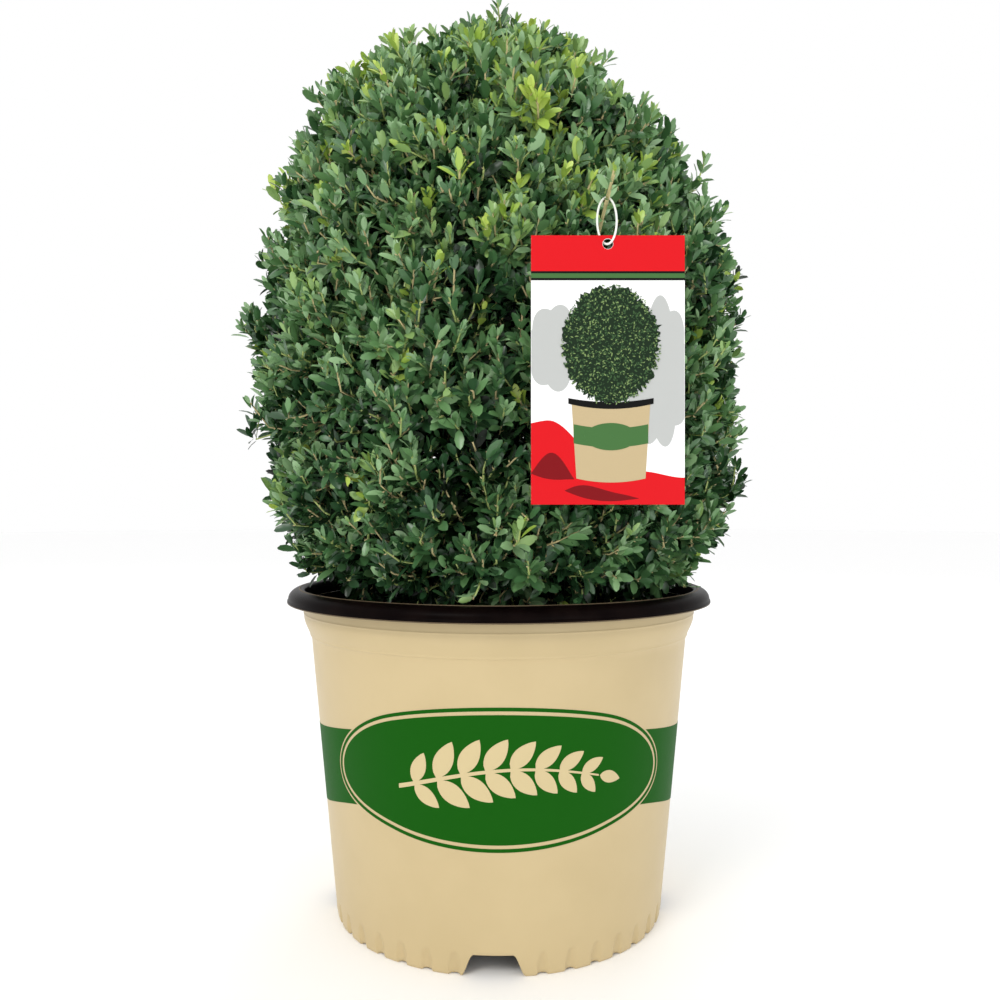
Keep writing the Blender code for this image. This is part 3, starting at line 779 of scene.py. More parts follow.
class TOPIARY_OT_potting_mix(bpy.types.Operator):
    """Fill the pot with coarse bark mix and scatter loose chips on it"""

    bl_idname = "topiary.potting_mix"
    bl_label = "Potting mix"

    mound = 0.0030

    def execute(self, context):
        pot = context.scene.topiary_pot
        rows, columns = 70, 200
        skirt_depth = 0.012
        share = np.linspace(1.0, 0.0, rows)[:-1]
        turn = np.linspace(0.0, FULL_TURN, columns, endpoint=False)
        edge = MIX_HIGH[0] - 0.0010
        dome = MIX_HIGH[2] - self.mound * share ** 2
        flat = turned(edge * share[:, None], turn[None], dome[:, None])
        calm = smooth_step((1.0 - share) / 0.04)[:, None]
        rough = 0.0011 * ripples(flat, 0.012, 31) + 0.0006 * ripples(flat, 0.004, 32)
        flat[..., 2] += (np.minimum(rough, 0.0016) - 0.0012) * calm
        skirt = turned(edge - 0.0004, turn, MIX_HIGH[2] - skirt_depth)
        points = np.concatenate([skirt, flat.reshape(-1, 3),
                                 [[0.0, 0.0, MIX_HIGH[2] - 0.001]],
                                 [[0.0, 0.0, MIX_HIGH[2] - skirt_depth]]])
        walls = grid_faces(rows, columns, close_columns=True)
        ring, centre = np.arange(columns), rows * columns
        top = fan_faces((rows - 1) * columns + ring, centre)
        bottom = fan_faces(ring, centre + 1)[:, [1, 0, 2]]
        finish = mottled_finish("bark mix", pot.mix, pot.mix_shade, 0.006, 0.0016, 0.0006,
                                (0.85, 0.98))
        make_piece("bark_mix_surface", points, [walls, top, bottom], finish,
                   ["potting_mix"], crease=60)
        self.scatter(pot)
        return {"FINISHED"}

    def scatter(self, pot):
        """Flat blocks with uneven corners, laid at random on the mix by an even spiral."""
        draw = np.random.default_rng(41)
        count = pot.chips
        order = np.arange(count) + 0.5
        radius = (MIX_HIGH[0] - 0.007) * np.sqrt(order / count)
        turn = order * GOLDEN_TURN + draw.normal(0.0, 0.2, count)
        surface = MIX_HIGH[2] - self.mound * (radius / MIX_HIGH[0]) ** 2
        middle = turned(radius, turn, surface + draw.uniform(-0.0012, 0.0012, count))
        size = np.stack([draw.uniform(0.002, 0.006, count), draw.uniform(0.0012, 0.003, count),
                         draw.uniform(0.0005, 0.0011, count)], axis=-1)
        corner = np.array([[x, y, z] for z in (-1, 1)
                           for x, y in ((-1, -1), (1, -1), (1, 1), (-1, 1))])
        block = corner[None] * size[:, None] * draw.uniform(0.65, 1.0, (count, 8, 3))
        ahead = unit(draw.normal(size=(count, 3)) * [1.0, 1.0, 0.22])
        above = unit(UP + draw.normal(0.0, 0.25, (count, 3)))
        side = unit(np.cross(above, ahead))
        above = np.cross(ahead, side)
        axes = np.stack([ahead, side, above], axis=1)
        points = middle[:, None] + np.einsum("nkc,ncd->nkd", block, axes)
        box = np.array([[0, 3, 2, 1], [4, 5, 6, 7], [0, 1, 5, 4], [1, 2, 6, 5], [2, 3, 7, 6],
                        [3, 0, 4, 7]])
        finish = mottled_finish("bark chips", pot.chip, pot.mix, 0.004, 0.0008, 0.0002,
                                (0.75, 0.95))
        make_piece("bark_chips", points, [repeated_faces(box, 8, count)], finish,
                   ["potting_mix"], smooth=False)


# ---------------------------------------------------------------- trunk and boughs

def node_points(name):
    """The separate corner points of a CAD node, each once."""
    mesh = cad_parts[name].data
    points = np.empty(3 * len(mesh.vertices))
    mesh.vertices.foreach_get("co", points)
    return np.unique(np.round(points.reshape(-1, 3), 6), axis=0)


def bough_line(name):
    """Middles and radii of a bough's four rings, from the trunk outwards."""
    points = node_points(name)
    flat = points[:, :2] - points[:, :2].mean(axis=0)
    outward = unit(points[:, :2].mean(axis=0))
    order = np.argsort(flat @ outward * 0.5 + points[:, 2])
    rings = points[order].reshape(4, -1, 3)
    middle = rings.mean(axis=1)
    radius = np.linalg.norm(rings - middle[:, None], axis=-1).mean(axis=1)
    return middle, radius


class TOPIARY_OT_bark(bpy.types.Operator):
    """Cover the trunk and its boughs with ridged, plated bark"""

    bl_idname = "topiary.bark"
    bl_label = "Bark of trunk and boughs"

    def execute(self, context):
        plant = context.scene.topiary_plant
        finish = mottled_finish("boxwood bark", plant.bark, plant.bark_shade, 0.006, 0.0012,
                                0.0005, (0.75, 0.95), stretch=(1.6, 1.6, 0.5))
        self.trunk(finish)
        self.boughs(finish)
        return {"FINISHED"}

    def trunk(self, finish):
        """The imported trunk's rings, read between, with wavy ridges along the grain."""
        points = node_points("trunk")
        levels = np.unique(np.round(points[:, 2], 4))
        rings = [points[np.abs(points[:, 2] - level) < 0.0002] for level in levels]
        middle = np.array([ring.mean(axis=0) for ring in rings])
        turn = np.linspace(0.0, FULL_TURN, 48, endpoint=False)
        reach = []
        for ring, centre in zip(rings, middle):
            across, ahead = ring[:, 0] - centre[0], ring[:, 1] - centre[1]
            angle, distance = np.arctan2(ahead, across), np.hypot(across, ahead)
            order = np.argsort(angle)
            reach.append(np.interp(turn, angle[order], distance[order], period=FULL_TURN))
        reach = np.array(reach)
        flare = 0.03
        height = np.concatenate([np.linspace(levels[0], levels[0] + flare, 30),
                                 np.linspace(levels[0] + 1.1 * flare, levels[-1], 110)])
        centre = np.stack([np.interp(height, levels, middle[:, axis]) for axis in range(3)], -1)
        radius = np.stack([np.interp(height, levels, reach[:, column])
                           for column in range(len(turn))], axis=-1)
        grain_stretch = 0.18
        spot = turned(radius, turn[None], grain_stretch * height[:, None])
        relief = 0.045 * ripples(spot, 0.004, 51) + 0.030 * ripples(spot, 0.0018, 52)
        surface = turned(radius * (0.97 + np.minimum(relief, 0.06)), turn[None], 0.0)
        surface = surface + centre[:, None]
        rows, columns = radius.shape
        top = (rows - 1) * columns + np.arange(columns)[None]
        bottom = np.arange(columns)[::-1][None]
        make_piece("bark_trunk", surface,
                   [grid_faces(rows, columns, close_columns=True), top, bottom],
                   finish, ["trunk"])

    def boughs(self, finish):
        """Cubics through each bough's four ring middles, with knots and ridges."""
        along = np.linspace(0.0, 1.0, 22)
        places = np.linspace(0.0, 1.0, 4)
        middles, radii = [], []
        for name in BOUGHS:
            middle, radius = bough_line(name)
            curve = [np.polyval(np.polyfit(places, middle[:, axis], 3), along)
                     for axis in range(3)]
            middles.append(np.stack(curve, axis=-1))
            radii.append(np.interp(along, places, radius))
        sides = 14
        points, faces = tubes(np.array(middles), np.array(radii), sides)
        centre = np.repeat(np.array(middles).reshape(-1, 3), sides, axis=0)
        relief = 0.05 * ripples(points, 0.006, 53) + 0.04 * ripples(points, 0.002, 54)
        points = centre + (points - centre) * (0.96 + np.minimum(relief, 0.06))[:, None]
        make_piece("bark_boughs", points, faces, finish, BOUGHS)


# ---------------------------------------------------------------- growth of the crown

# polar angle, from straight up, at which the skin of the crown ends
POLAR_END = math.radians(166.0)

# by a shoot's rank, outer, middle or inner: how far its tip is under the skin, the scatter
# of that, its share in the tufts' shape, and its painted shade: how many tones darker its
# leaves are dealt, standing in for the shade deep inside the crown
RANK_DEPTH = np.array([0.0042, 0.0150, 0.0340])
RANK_SCATTER = np.array([0.0030, 0.0044, 0.0090])
RANK_TUFTED = np.array([1.0, 0.8, 0.0])
RANK_PAINTED_SHADE = np.array([0.0, -1.1, -2.6])

# bells that change the outline: change of inset, middle and breadth across, middle and
# breadth up. Two cut the shoulders back, three shape the sprays of the top, and the rest
# let loose spots of the sides stand out or fall back.
OUTLINE_BELLS = (
    (0.0220, 0.100, 0.028, 0.533, 0.014), (0.0180, -0.122, 0.030, 0.548, 0.012),
    (-0.0060, 0.008, 0.024, 0.600, 0.030), (-0.0160, 0.048, 0.010, 0.585, 0.030),
    (0.0050, -0.048, 0.014, 0.585, 0.020), (-0.0080, 0.135, 0.030, 0.500, 0.010),
    (-0.0070, 0.165, 0.050, 0.400, 0.022), (0.0045, 0.160, 0.050, 0.290, 0.060),
    (-0.0030, -0.160, 0.040, 0.400, 0.025), (0.0035, -0.160, 0.050, 0.290, 0.055))


def read_skin():
    """Reach of the crown's skin from its eye, and the mass met there.

    A grid of polar angle by turn; each value is where a ray towards the eye first meets the
    packed masses. Narrow gaps between masses are closed by a spread and a shrink.
    """
    corners, owners = [], []
    for index, name in enumerate(MASSES):
        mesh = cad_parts[name].data
        mesh.calc_loop_triangles()
        points = np.empty(3 * len(mesh.vertices))
        mesh.vertices.foreach_get("co", points)
        triangles = np.empty(3 * len(mesh.loop_triangles), dtype=np.int32)
        mesh.loop_triangles.foreach_get("vertices", triangles)
        corners.append(points.reshape(-1, 3)[triangles])
        owners.append(np.full(len(triangles) // 3, index))
    corners, owners = np.concatenate(corners), np.concatenate(owners)
    numbers = np.arange(len(corners)).reshape(-1, 3)
    tree = BVHTree.FromPolygons(corners.tolist(), numbers.tolist())
    far = 0.6
    eye = np.array([0.0, 0.0, CROWN_BOTTOM + 0.44 * (CROWN_TOP - CROWN_BOTTOM)])
    polar = np.linspace(0.0, POLAR_END, 90)
    turn = np.linspace(0.0, FULL_TURN, 144, endpoint=False)
    directions = turned(np.sin(polar)[:, None], turn[None], np.cos(polar)[:, None])
    reach = np.zeros(directions.shape[:2])
    mass = np.zeros(directions.shape[:2], dtype=np.int32)
    for row, column in np.ndindex(*reach.shape):
        ray = Vector(directions[row, column])
        spot, _, face, _ = tree.ray_cast(Vector(eye) + ray * far, -ray)
        if spot is not None:
            reach[row, column] = (spot - Vector(eye)).length
            mass[row, column] = owners[face]
    for extreme in (np.max, np.min):
        stack = [np.roll(np.roll(reach, down, axis=0), aside, axis=1)
                 for down in (-1, 0, 1) for aside in (-1, 0, 1)]
        widened = extreme(np.array(stack), axis=0)
        reach = np.concatenate([reach[:1], widened[1:-1], reach[-1:]])
    return {"eye": eye, "polar": polar, "turn": turn, "reach": reach, "mass": mass,
            "directions": directions}


def skin_normals(skin):
    """Outward normals of the skin's grid, from its slopes along both angles."""
    spots = skin["directions"] * skin["reach"][..., None]
    around = np.roll(spots, -2, axis=1) - np.roll(spots, 2, axis=1)
    down = np.gradient(spots, axis=0)
    normals = unit(np.cross(down, around))
    normals[0] = UP
    return normals


def read_grid(skin, values, directions):
    """Values of a grid of polar angle by turn along unit directions, read between points."""
    rows, columns = skin["reach"].shape
    polar = np.arccos(np.clip(directions[..., 2], -1.0, 1.0))
    row = np.clip(polar / POLAR_END * (rows - 1), 0.0, rows - 1.001)
    column = np.arctan2(directions[..., 1], directions[..., 0]) / FULL_TURN * columns % columns
    low, left = row.astype(int), column.astype(int) % columns
    right = (left + 1) % columns
    down, aside = row - low, column - np.floor(column)
    if values.ndim == 3:
        down, aside = down[..., None], aside[..., None]
    upper = values[low, left] * (1 - aside) + values[low, right] * aside
    lower = values[low + 1, left] * (1 - aside) + values[low + 1, right] * aside
    return upper * (1 - down) + lower * down


def spread_targets(skin, count, draw):
    """Directions of steady density over the skin: a golden spiral by area, shaken a little.

    The underside gets fewer, and strip is the area of a thin ring of the mean outline.
    """
    polar = np.linspace(0.005, POLAR_END, 600)
    mean = np.interp(polar, skin["polar"], skin["reach"].mean(axis=1))
    strip = mean * np.sin(polar) * np.hypot(mean, np.gradient(mean, polar))
    underside = smooth_step((polar - math.radians(142.0)) / math.radians(14.0))
    share = np.cumsum(strip * (1.0 - 0.45 * underside))
    order = (np.arange(count) + 0.5) / count
    tilt = np.interp(order * share[-1], share, polar)
    turn = np.arange(count) * GOLDEN_TURN + draw.uniform(0.0, FULL_TURN)
    directions = turned(np.sin(tilt), turn, np.cos(tilt))
    spacing = math.sqrt(4.0 * math.pi / count)
    return unit(directions + draw.normal(0.0, 0.32 * spacing, directions.shape))


def group_spots(spots, count, rounds=5):
    """Sort spots into bunches: farthest-first centres, each then moved to its bunch's middle."""
    centres = spots[:1]
    for _ in range(count - 1):
        gap = np.linalg.norm(spots[:, None] - centres[None], axis=2).min(axis=1)
        centres = np.concatenate([centres, spots[gap.argmax()][None]])
    for _ in range(rounds):
        owner = np.linalg.norm(spots[:, None] - centres[None], axis=2).argmin(axis=1)
        kept, owner = np.unique(owner, return_inverse=True)
        centres = np.array([spots[owner == bunch].mean(axis=0) for bunch in range(len(kept))])
    return owner, centres


def limb_end(mass_name):
    """Where the wood enters a mass, and its heading there: its bough's end or the trunk's tip."""
    bough = mass_name.replace("foliage_", "bough_")
    if bough in BOUGHS:
        middle, _ = bough_line(bough)
        return middle[-1], unit(middle[-1] - middle[-2])
    points = node_points("trunk")
    top = points[points[:, 2] > points[:, 2].max() - 0.0005].mean(axis=0)
    return top - 0.002 * UP, UP


def arch(start, lead, end, arrive, reach_out, reach_in):
    """Control points of a cubic that leaves start along lead and reaches end along arrive."""
    span = np.linalg.norm(end - start, axis=-1, keepdims=True)
    return np.stack([start, start + lead * span * reach_out,
                     end - arrive * span * reach_in, end], axis=-2)


def outline_inset(aside, level):
    """How much further in than elsewhere the shoots end at a place across and a height.

    Two smooth steps narrow the crown towards its top, and bell curves are added to them.
    """
    ramp = 0.050
    inset = 0.0045 * smooth_step((level - 0.475) / ramp)
    inset = inset + 0.0140 * smooth_step((level - 0.535) / ramp)
    for change, across, breadth, up, height in OUTLINE_BELLS:
        bell = ((aside - across) / breadth) ** 2 + ((level - up) / height) ** 2
        inset = inset + change * np.exp(-bell)
    return inset


def grow_wood(plant, skin, draw):
    """Leaders from the limbs, branches from the leaders and shoots from the branches.

    Each mass gets one leader to half its depth. Its targets are bunched, each bunch gets a
    branch from the leader to two thirds of its depth, and each target of the bunch gets a
    shoot from the outer half of that branch.
    """
    counts = (plant.outer_shoots, plant.middle_shoots, plant.inner_shoots)
    rank = np.repeat(np.arange(3), counts)
    directions = np.concatenate([spread_targets(skin, count, draw) for count in counts])
    normals = unit(read_grid(skin, skin_normals(skin), directions))
    spots = skin["eye"] + directions * read_grid(skin, skin["reach"], directions)[:, None]
    owner = nearest_mass(skin, directions)

    leaders, branches, shoots, ranks, tufts, outward = [], [], [], [], [], []
    for index, name in enumerate(MASSES):
        mine = np.flatnonzero(owner == index)
        start, lead = limb_end(name)
        bunches = max(4, round(len(mine) / plant.tuft_size))
        bunch, centres = group_spots(spots[mine], bunches)
        middle = spots[mine].mean(axis=0)
        leader_end = start + (middle - start) * 0.52
        leader = arch(start, lead, leader_end, unit(middle - start + 0.01 * UP), 0.35, 0.30)
        leaders.append(leader)

        places = draw.uniform(0.15, 1.0, len(centres))
        foot = bend_along(leader[None], places[None])[0]
        foot_lead = heading_along(leader[None], places[None])[0]
        branch_end = foot + (centres - foot) * draw.uniform(0.58, 0.70, (len(centres), 1))
        arrive = unit(unit(centres - foot) + 0.35 * UP)
        branch = arch(foot, foot_lead, branch_end, arrive, 0.30, 0.35)
        branches.append(branch)

        tip, rise = shoot_ends(spots[mine], directions[mine], normals[mine], rank[mine],
                               bunch, centres, draw)
        place = draw.uniform(0.40, 1.0, len(mine))
        root = bend_along(branch[bunch], place[:, None])[:, 0]
        root_lead = heading_along(branch[bunch], place[:, None])[:, 0]
        shoots.append(arch(root, root_lead, tip, rise, 0.28, 0.42))
        ranks.append(rank[mine])
        tufts.append(draw.normal(size=len(centres))[bunch])
        outward.append(normals[mine])
    return {"leaders": np.array(leaders), "branches": np.concatenate(branches),
            "shoots": np.concatenate(shoots), "rank": np.concatenate(ranks),
            "tuft": np.concatenate(tufts), "outward": np.concatenate(outward)}


def nearest_mass(skin, directions):
    """Number of the mass that the skin's nearest grid point met, along unit directions."""
    rows, columns = skin["mass"].shape
    row = np.arccos(np.clip(directions[:, 2], -1.0, 1.0)) / POLAR_END * (rows - 1)
    column = np.arctan2(directions[:, 1], directions[:, 0]) / FULL_TURN * columns
    return skin["mass"][np.clip(np.round(row).astype(int), 0, rows - 1),
                        np.round(column).astype(int) % columns]


def shoot_ends(spots, directions, normals, rank, bunch, centres, draw):
    """Tips of shoots, set in from their spots on the skin, and their headings there.

    Shoots of a bunch end on a low dome, a square of the distance from its centre, so that
    the crown is made of tufts with hollows between them. Some outer shoots, more of them
    near the top, stray out. A tip heads outwards, up, away from its bunch and at random.
    """
    count = len(spots)
    vigour = draw.normal(0.0, 0.0040, len(centres))
    distance = np.linalg.norm(spots - centres[bunch], axis=-1)
    dome = np.minimum(0.0080 * (distance / 0.020) ** 2, 0.012)
    inset = RANK_DEPTH[rank] + RANK_SCATTER[rank] * draw.normal(size=count)
    inset = inset - RANK_TUFTED[rank] * (vigour[bunch] - dome)
    inset = inset + outline_inset(spots[:, 0], spots[:, 2])
    near_top = smooth_step((spots[:, 2] - 0.46) / 0.05)
    stray = (draw.random(count) < 0.06 + 0.06 * near_top) & (rank == 0)
    inset = np.where(stray, inset - draw.uniform(0.003, 0.013, count), inset)
    farthest_out = -0.0070
    inset = np.maximum(inset, farthest_out)
    tip = spots - unit(directions + normals) * inset[:, None]
    lift = smooth_step((tip[:, 2] - CROWN_BOTTOM) / 0.05)[:, None]
    sway = draw.normal(0.0, 0.33, (count, 3))
    fan = unit(spots - centres[bunch] + 1e-6) * np.minimum(distance / 0.03, 1.0)[:, None]
    return tip, unit(0.34 * normals + (0.05 + 0.70 * lift) * UP + 0.45 * fan + sway)


def tie_twig():
    """Controls of the twig that the label hangs from, which passes through the tie's top."""
    start = np.array([0.0500, -0.110, 0.3945])
    end = np.array([0.0568, -0.1760, 0.4295])
    share = np.linspace(0.0, 1.0, 4)[:, None]
    return start + (end - start) * share


# pairs of leaves from a shoot's tip down: distance from the tip, opening angle, size of
# the leaves, how much paler they are, and how many pairs a shoot has by its rank
PAIR_PLACES = np.array([0.0004, 0.0027, 0.0068, 0.0120, 0.0176, 0.0234, 0.0292, 0.0350])
PAIR_OPENING = np.radians([15.0, 27.0, 38.0, 46.0, 52.0, 55.0, 58.0, 60.0])
PAIR_SIZE = np.array([0.60, 0.84, 1.00, 1.05, 1.02, 0.96, 0.90, 0.80])
PAIR_BRIGHT = np.array([1.2, 0.9, 0.5, 0.2, -0.1, -0.4, -0.7, -1.0])
PAIRS = (8, 6, 5)

# how many tones the leaves are sorted into
TONES = 9

# one leaf: points of its midrib and of its right edge as width, length and height, and the
# triangles between them
LEAF_MIDRIB = np.array([[0.0, 0.0, 0.0], [0.0, 0.55, -0.01], [0.0, 1.0, -0.11]])
LEAF_EDGE = np.array([[0.36, 0.22, 0.035], [0.50, 0.57, 0.030], [0.32, 0.88, -0.035]])
LEAF_RIGHT = np.array([[0, 3, 1], [1, 3, 4], [1, 4, 5], [1, 5, 2]])


def leaf_shape(width):
    """Points and triangles of one leaf: blunt and broadest past the middle, folded, tip down."""
    mirrored = LEAF_EDGE * [-1.0, 1.0, 1.0]
    points = np.concatenate([LEAF_MIDRIB, LEAF_EDGE, mirrored]) * [width, 1.0, 1.0]
    left = np.where(LEAF_RIGHT > 2, LEAF_RIGHT + 3, LEAF_RIGHT)[:, ::-1]
    return points, np.concatenate([LEAF_RIGHT, left])


def shoot_length(controls):
    """Length of a shoot, taken as a little more than its chord."""
    chord = np.linalg.norm(controls[:, 3] - controls[:, 0], axis=-1)
    return 1.08 * np.maximum(chord, 0.02)


def shoot_leaves(plant, controls, outward, pairs, draw):
    """Places, axes and sizes of crosswise pairs of leaves along the ends of shoots.

    A pair turns a quarter from the one before it. Its leaves lean out by its opening angle,
    and their faces turn a little outwards and up to the light.
    """
    count = len(controls)
    stretch = draw.normal(1.0, 0.10, (count, 1))
    along = 1.0 - PAIR_PLACES[:pairs] * stretch / shoot_length(controls)[:, None]
    along = np.clip(along, 0.05, 1.0)
    foot = bend_along(controls, along)
    heading = heading_along(controls, along)
    sideways = unit(np.cross(heading, unit(draw.normal(size=(count, 1, 3)))))
    crosswise = np.cross(heading, sideways)
    turn = (draw.uniform(0.0, FULL_TURN, (count, 1)) + np.arange(pairs) * math.pi / 2.0
            + draw.normal(0.0, 0.16, (count, pairs)))
    spoke = sideways * np.cos(turn)[..., None] + crosswise * np.sin(turn)[..., None]
    spoke = spoke[:, :, None] * np.array([1.0, -1.0])[:, None]
    opening = PAIR_OPENING[:pairs, None] + draw.normal(0.0, 0.15, (count, pairs, 2))
    heading = np.broadcast_to(heading[:, :, None], spoke.shape)
    axis = heading * np.cos(opening)[..., None] + spoke * np.sin(opening)[..., None]
    upper = heading * np.sin(opening)[..., None] - spoke * np.cos(opening)[..., None]
    towards_light = 0.16 * outward[:, None, None] + 0.26 * UP
    upper = upper + towards_light + draw.normal(0.0, 0.26, upper.shape)
    axis = unit(axis + 0.10 * UP)
    aside = unit(np.cross(axis, upper))
    upper = np.cross(aside, axis)
    size = (plant.leaf_length * PAIR_SIZE[:pairs, None]
            * draw.normal(1.0, 0.11, (count, pairs, 2)) * draw.normal(1.0, 0.07, (count, 1, 1)))
    stalk = 0.0007
    return foot[:, :, None] + spoke * stalk, aside, axis, upper, np.clip(size, 0.004, 0.0165)


def deal_tones(wood, pairs, mine, draw):
    """Tone number of each leaf: by height, rank, tuft and spray, paler towards the tips.

    Height and rank carry painted light: higher leaves get paler tones as if lit from above,
    and the lowest leaves and the deeper ranks get darker ones as painted shade. Some sprays,
    more of them near the top, end in young leaves of the palest tones.
    """
    tips = wood["shoots"][mine, 3]
    level = (tips[:, 2] - CROWN_BOTTOM) / (CROWN_TOP - CROWN_BOTTOM)
    rank = wood["rank"][mine]
    # painted light: 1.8 * (level - 0.5) pales the upper leaves as if lit from above; the rank term
    # and the term for the lowest leaves deal darker tones as painted shade
    score = (3.30 + 1.8 * (level - 0.5) + RANK_PAINTED_SHADE[rank]
             - 1.1 * (1.0 - smooth_step(level / 0.14))
             + 0.75 * wood["tuft"][mine] + draw.normal(0.0, 0.85, len(tips)))
    young = draw.random(len(tips)) < 0.018 + 0.13 * np.clip(level, 0.0, 1.0) ** 3
    young &= rank == 0
    leaf = score[:, None, None] + PAIR_BRIGHT[:pairs, None]
    leaf = leaf + draw.normal(0.0, 0.45, (len(tips), pairs, 2))
    fresh = np.where(np.arange(pairs) < 3, 7.6, 6.0)[:, None] - 0.12 * np.arange(pairs)[:, None]
    leaf = np.where(young[:, None, None], fresh + draw.normal(0.0, 0.5, leaf.shape), leaf)
    return np.clip(np.round(leaf), 0, TONES - 1).astype(int)


class TOPIARY_OT_crown(bpy.types.Operator):
    """Grow branches, shoots, buds and leaves from the boughs out to the crown's outline"""

    bl_idname = "topiary.crown"
    bl_label = "Branches, shoots, buds and leaves"

    def execute(self, context):
        plant = context.scene.topiary_plant
        draw = np.random.default_rng(plant.seed)
        skin = read_skin()
        wood = grow_wood(plant, skin, draw)
        self.add_tie_twig(wood)
        self.branches(plant, wood)
        self.shoots(plant, wood, draw)
        self.leaves(plant, wood, draw)
        return {"FINISHED"}

    def add_tie_twig(self, wood):
        """Join the label's twig to the outer shoots."""
        wood["shoots"] = np.concatenate([wood["shoots"], tie_twig()[None]])
        wood["rank"] = np.append(wood["rank"], 0)
        wood["tuft"] = np.append(wood["tuft"], 0.5)
        wood["outward"] = np.concatenate([wood["outward"], [[0.3, -0.95, 0.0]]])

    def branches(self, plant, wood):
        """Leaders, branches and the label's twig as tapering tubes with slight knots."""
        finish = plain_finish("woody twigs", plant.twig, 0.75)
        rings = 9
        along = np.linspace(0.0, 1.0, rings)[None]
        knots = 1.0 + 0.18 * np.sin(np.arange(rings) * 2.4)[None]
        for name, controls, thick, thin in (("leaders", wood["leaders"], 0.0027, 0.0016),
                                            ("branches", wood["branches"], 0.0016, 0.0009),
                                            ("label_twig", tie_twig()[None], 0.0011, 0.0009)):
            middles = bend_along(controls, np.repeat(along, len(controls), axis=0))
            radii = (thick + (thin - thick) * along) * knots
            points, faces = tubes(middles, np.repeat(radii, len(controls), axis=0), 6)
            make_piece(f"boxwood_{name}", points, faces, finish, MASSES)

    def shoots(self, plant, wood, draw):
        """Thin three-sided shoots, some green and some tan, with their buds."""
        controls = wood["shoots"]
        along = np.repeat(np.linspace(0.0, 1.0, 6)[None], len(controls), axis=0)
        middles = bend_along(controls, along)
        radii = plant.shoot_radius * (1.0 - 0.42 * along)
        woody = draw.random(len(controls)) < 0.45
        for name, colour, roughness, kept in (("green", plant.green_shoot, 0.6, ~woody),
                                              ("tan", plant.twig, 0.7, woody)):
            points, faces = tubes(middles[kept], radii[kept], 3)
            make_piece(f"boxwood_shoots_{name}", points, faces,
                       plain_finish(f"{name} shoots", colour, roughness), MASSES)
        self.buds(plant, controls[wood["rank"] == 0], draw)

    def buds(self, plant, controls, draw):
        """Two pointed buds on each outer shoot: four-sided bipyramids beside the stem."""
        controls = np.repeat(controls, 2, axis=0)
        count = len(controls)
        distance = PAIR_PLACES[draw.integers(1, 6, count)]
        place = (1.0 - distance / shoot_length(controls))[:, None]
        ahead = heading_along(controls, place)[:, 0]
        aside = unit(np.cross(ahead, draw.normal(size=ahead.shape)))
        middle = bend_along(controls, place)[:, 0] + aside * 0.0008
        axes = np.stack([unit(ahead + aside), aside, np.cross(ahead, aside)], axis=1)
        corner = np.array([[1.5, 0, 0], [-1, 0, 0], [0, 0.7, 0], [0, 0, 0.7], [0, -0.7, 0],
                           [0, 0, -0.7]]) * 0.0010
        size = draw.uniform(0.6, 1.15, (count, 1, 1))
        points = middle[:, None] + np.einsum("kc,ncd->nkd", corner, axes) * size
        ring = np.arange(2, 6)
        faces = np.concatenate([fan_faces(ring, 0), fan_faces(ring, 1)[:, ::-1]])
        make_piece("boxwood_buds", points, [repeated_faces(faces, 6, count)],
                   plain_finish("buds", plant.bud, 0.6), MASSES)

    def leaves(self, plant, wood, draw):
        """Leaves of every shoot, sorted into one piece for each tone."""
        shape, faces = leaf_shape(plant.leaf_width)
        points, tones = [], []
        for rank, pairs in enumerate(PAIRS):
            mine = np.flatnonzero(wood["rank"] == rank)
            foot, aside, axis, upper, size = shoot_leaves(
                plant, wood["shoots"][mine], wood["outward"][mine], pairs, draw)
            frames = np.stack([aside, axis, upper], axis=-2) * size[..., None, None]
            leaf = foot[..., None, :] + np.einsum("kc,...cd->...kd", shape, frames)
            points.append(leaf.reshape(-1, len(shape), 3))
            tones.append(deal_tones(wood, pairs, mine, draw).ravel())
        points, tones = np.concatenate(points), np.concatenate(tones)
        clear = self.clear_of_pot(points) & self.clear_of_card(points)
        points, tones = points[clear], tones[clear]
        for tone in range(TONES):
            chosen = points[tones == tone]
            colour = getattr(plant, f"leaf_{tone}")
            finish = plain_finish(f"leaves tone {tone}", colour, 0.30 + 0.01 * tone,
                                  min(0.25 + 0.12 * tone, 0.65))
            make_piece(f"boxwood_leaves_{tone}", chosen,
                       [repeated_faces(faces, len(shape), len(chosen))],
                       finish, MASSES)

    def clear_of_pot(self, points):
        """True for leaves that stay above the rim, or inside it and above the mix."""
        mouth, margin = 0.1278, 0.0010
        radius = np.hypot(points[..., 0], points[..., 1])
        in_rim = (points[..., 2] < RIM_HIGH[2] + margin) & (radius > mouth)
        in_mix = points[..., 2] < MIX_HIGH[2] + margin
        return ~(in_rim | in_mix).any(axis=1)

    def clear_of_card(self, points):
        """True for leaves that don't cross the label card."""
        margin = 0.0010
        beside = ((points[..., 0] < CARD_LOW[0] - margin) | (points[..., 0] > CARD_HIGH[0] + margin)
                  | (points[..., 2] < CARD_LOW[2] - margin)
                  | (points[..., 2] > CARD_HIGH[2] + margin))
        behind = points[..., 1] > CARD_HIGH[1] + margin
        return (beside | behind).all(axis=1)


# ---------------------------------------------------------------- label

# how far the hole for the tie is below the card's top
HOLE_DROP = 0.0042


def blob(middle_x, middle_z, reach_x, reach_z, lobes, depth, angle, phase=0.0):
    """A flat bumpy round: an ellipse whose radius swells between lobes."""
    swell = 1.0 + depth * np.abs(np.sin(0.5 * lobes * angle + phase))
    return middle_x + reach_x * swell * np.cos(angle), middle_z + reach_z * swell * np.sin(angle)


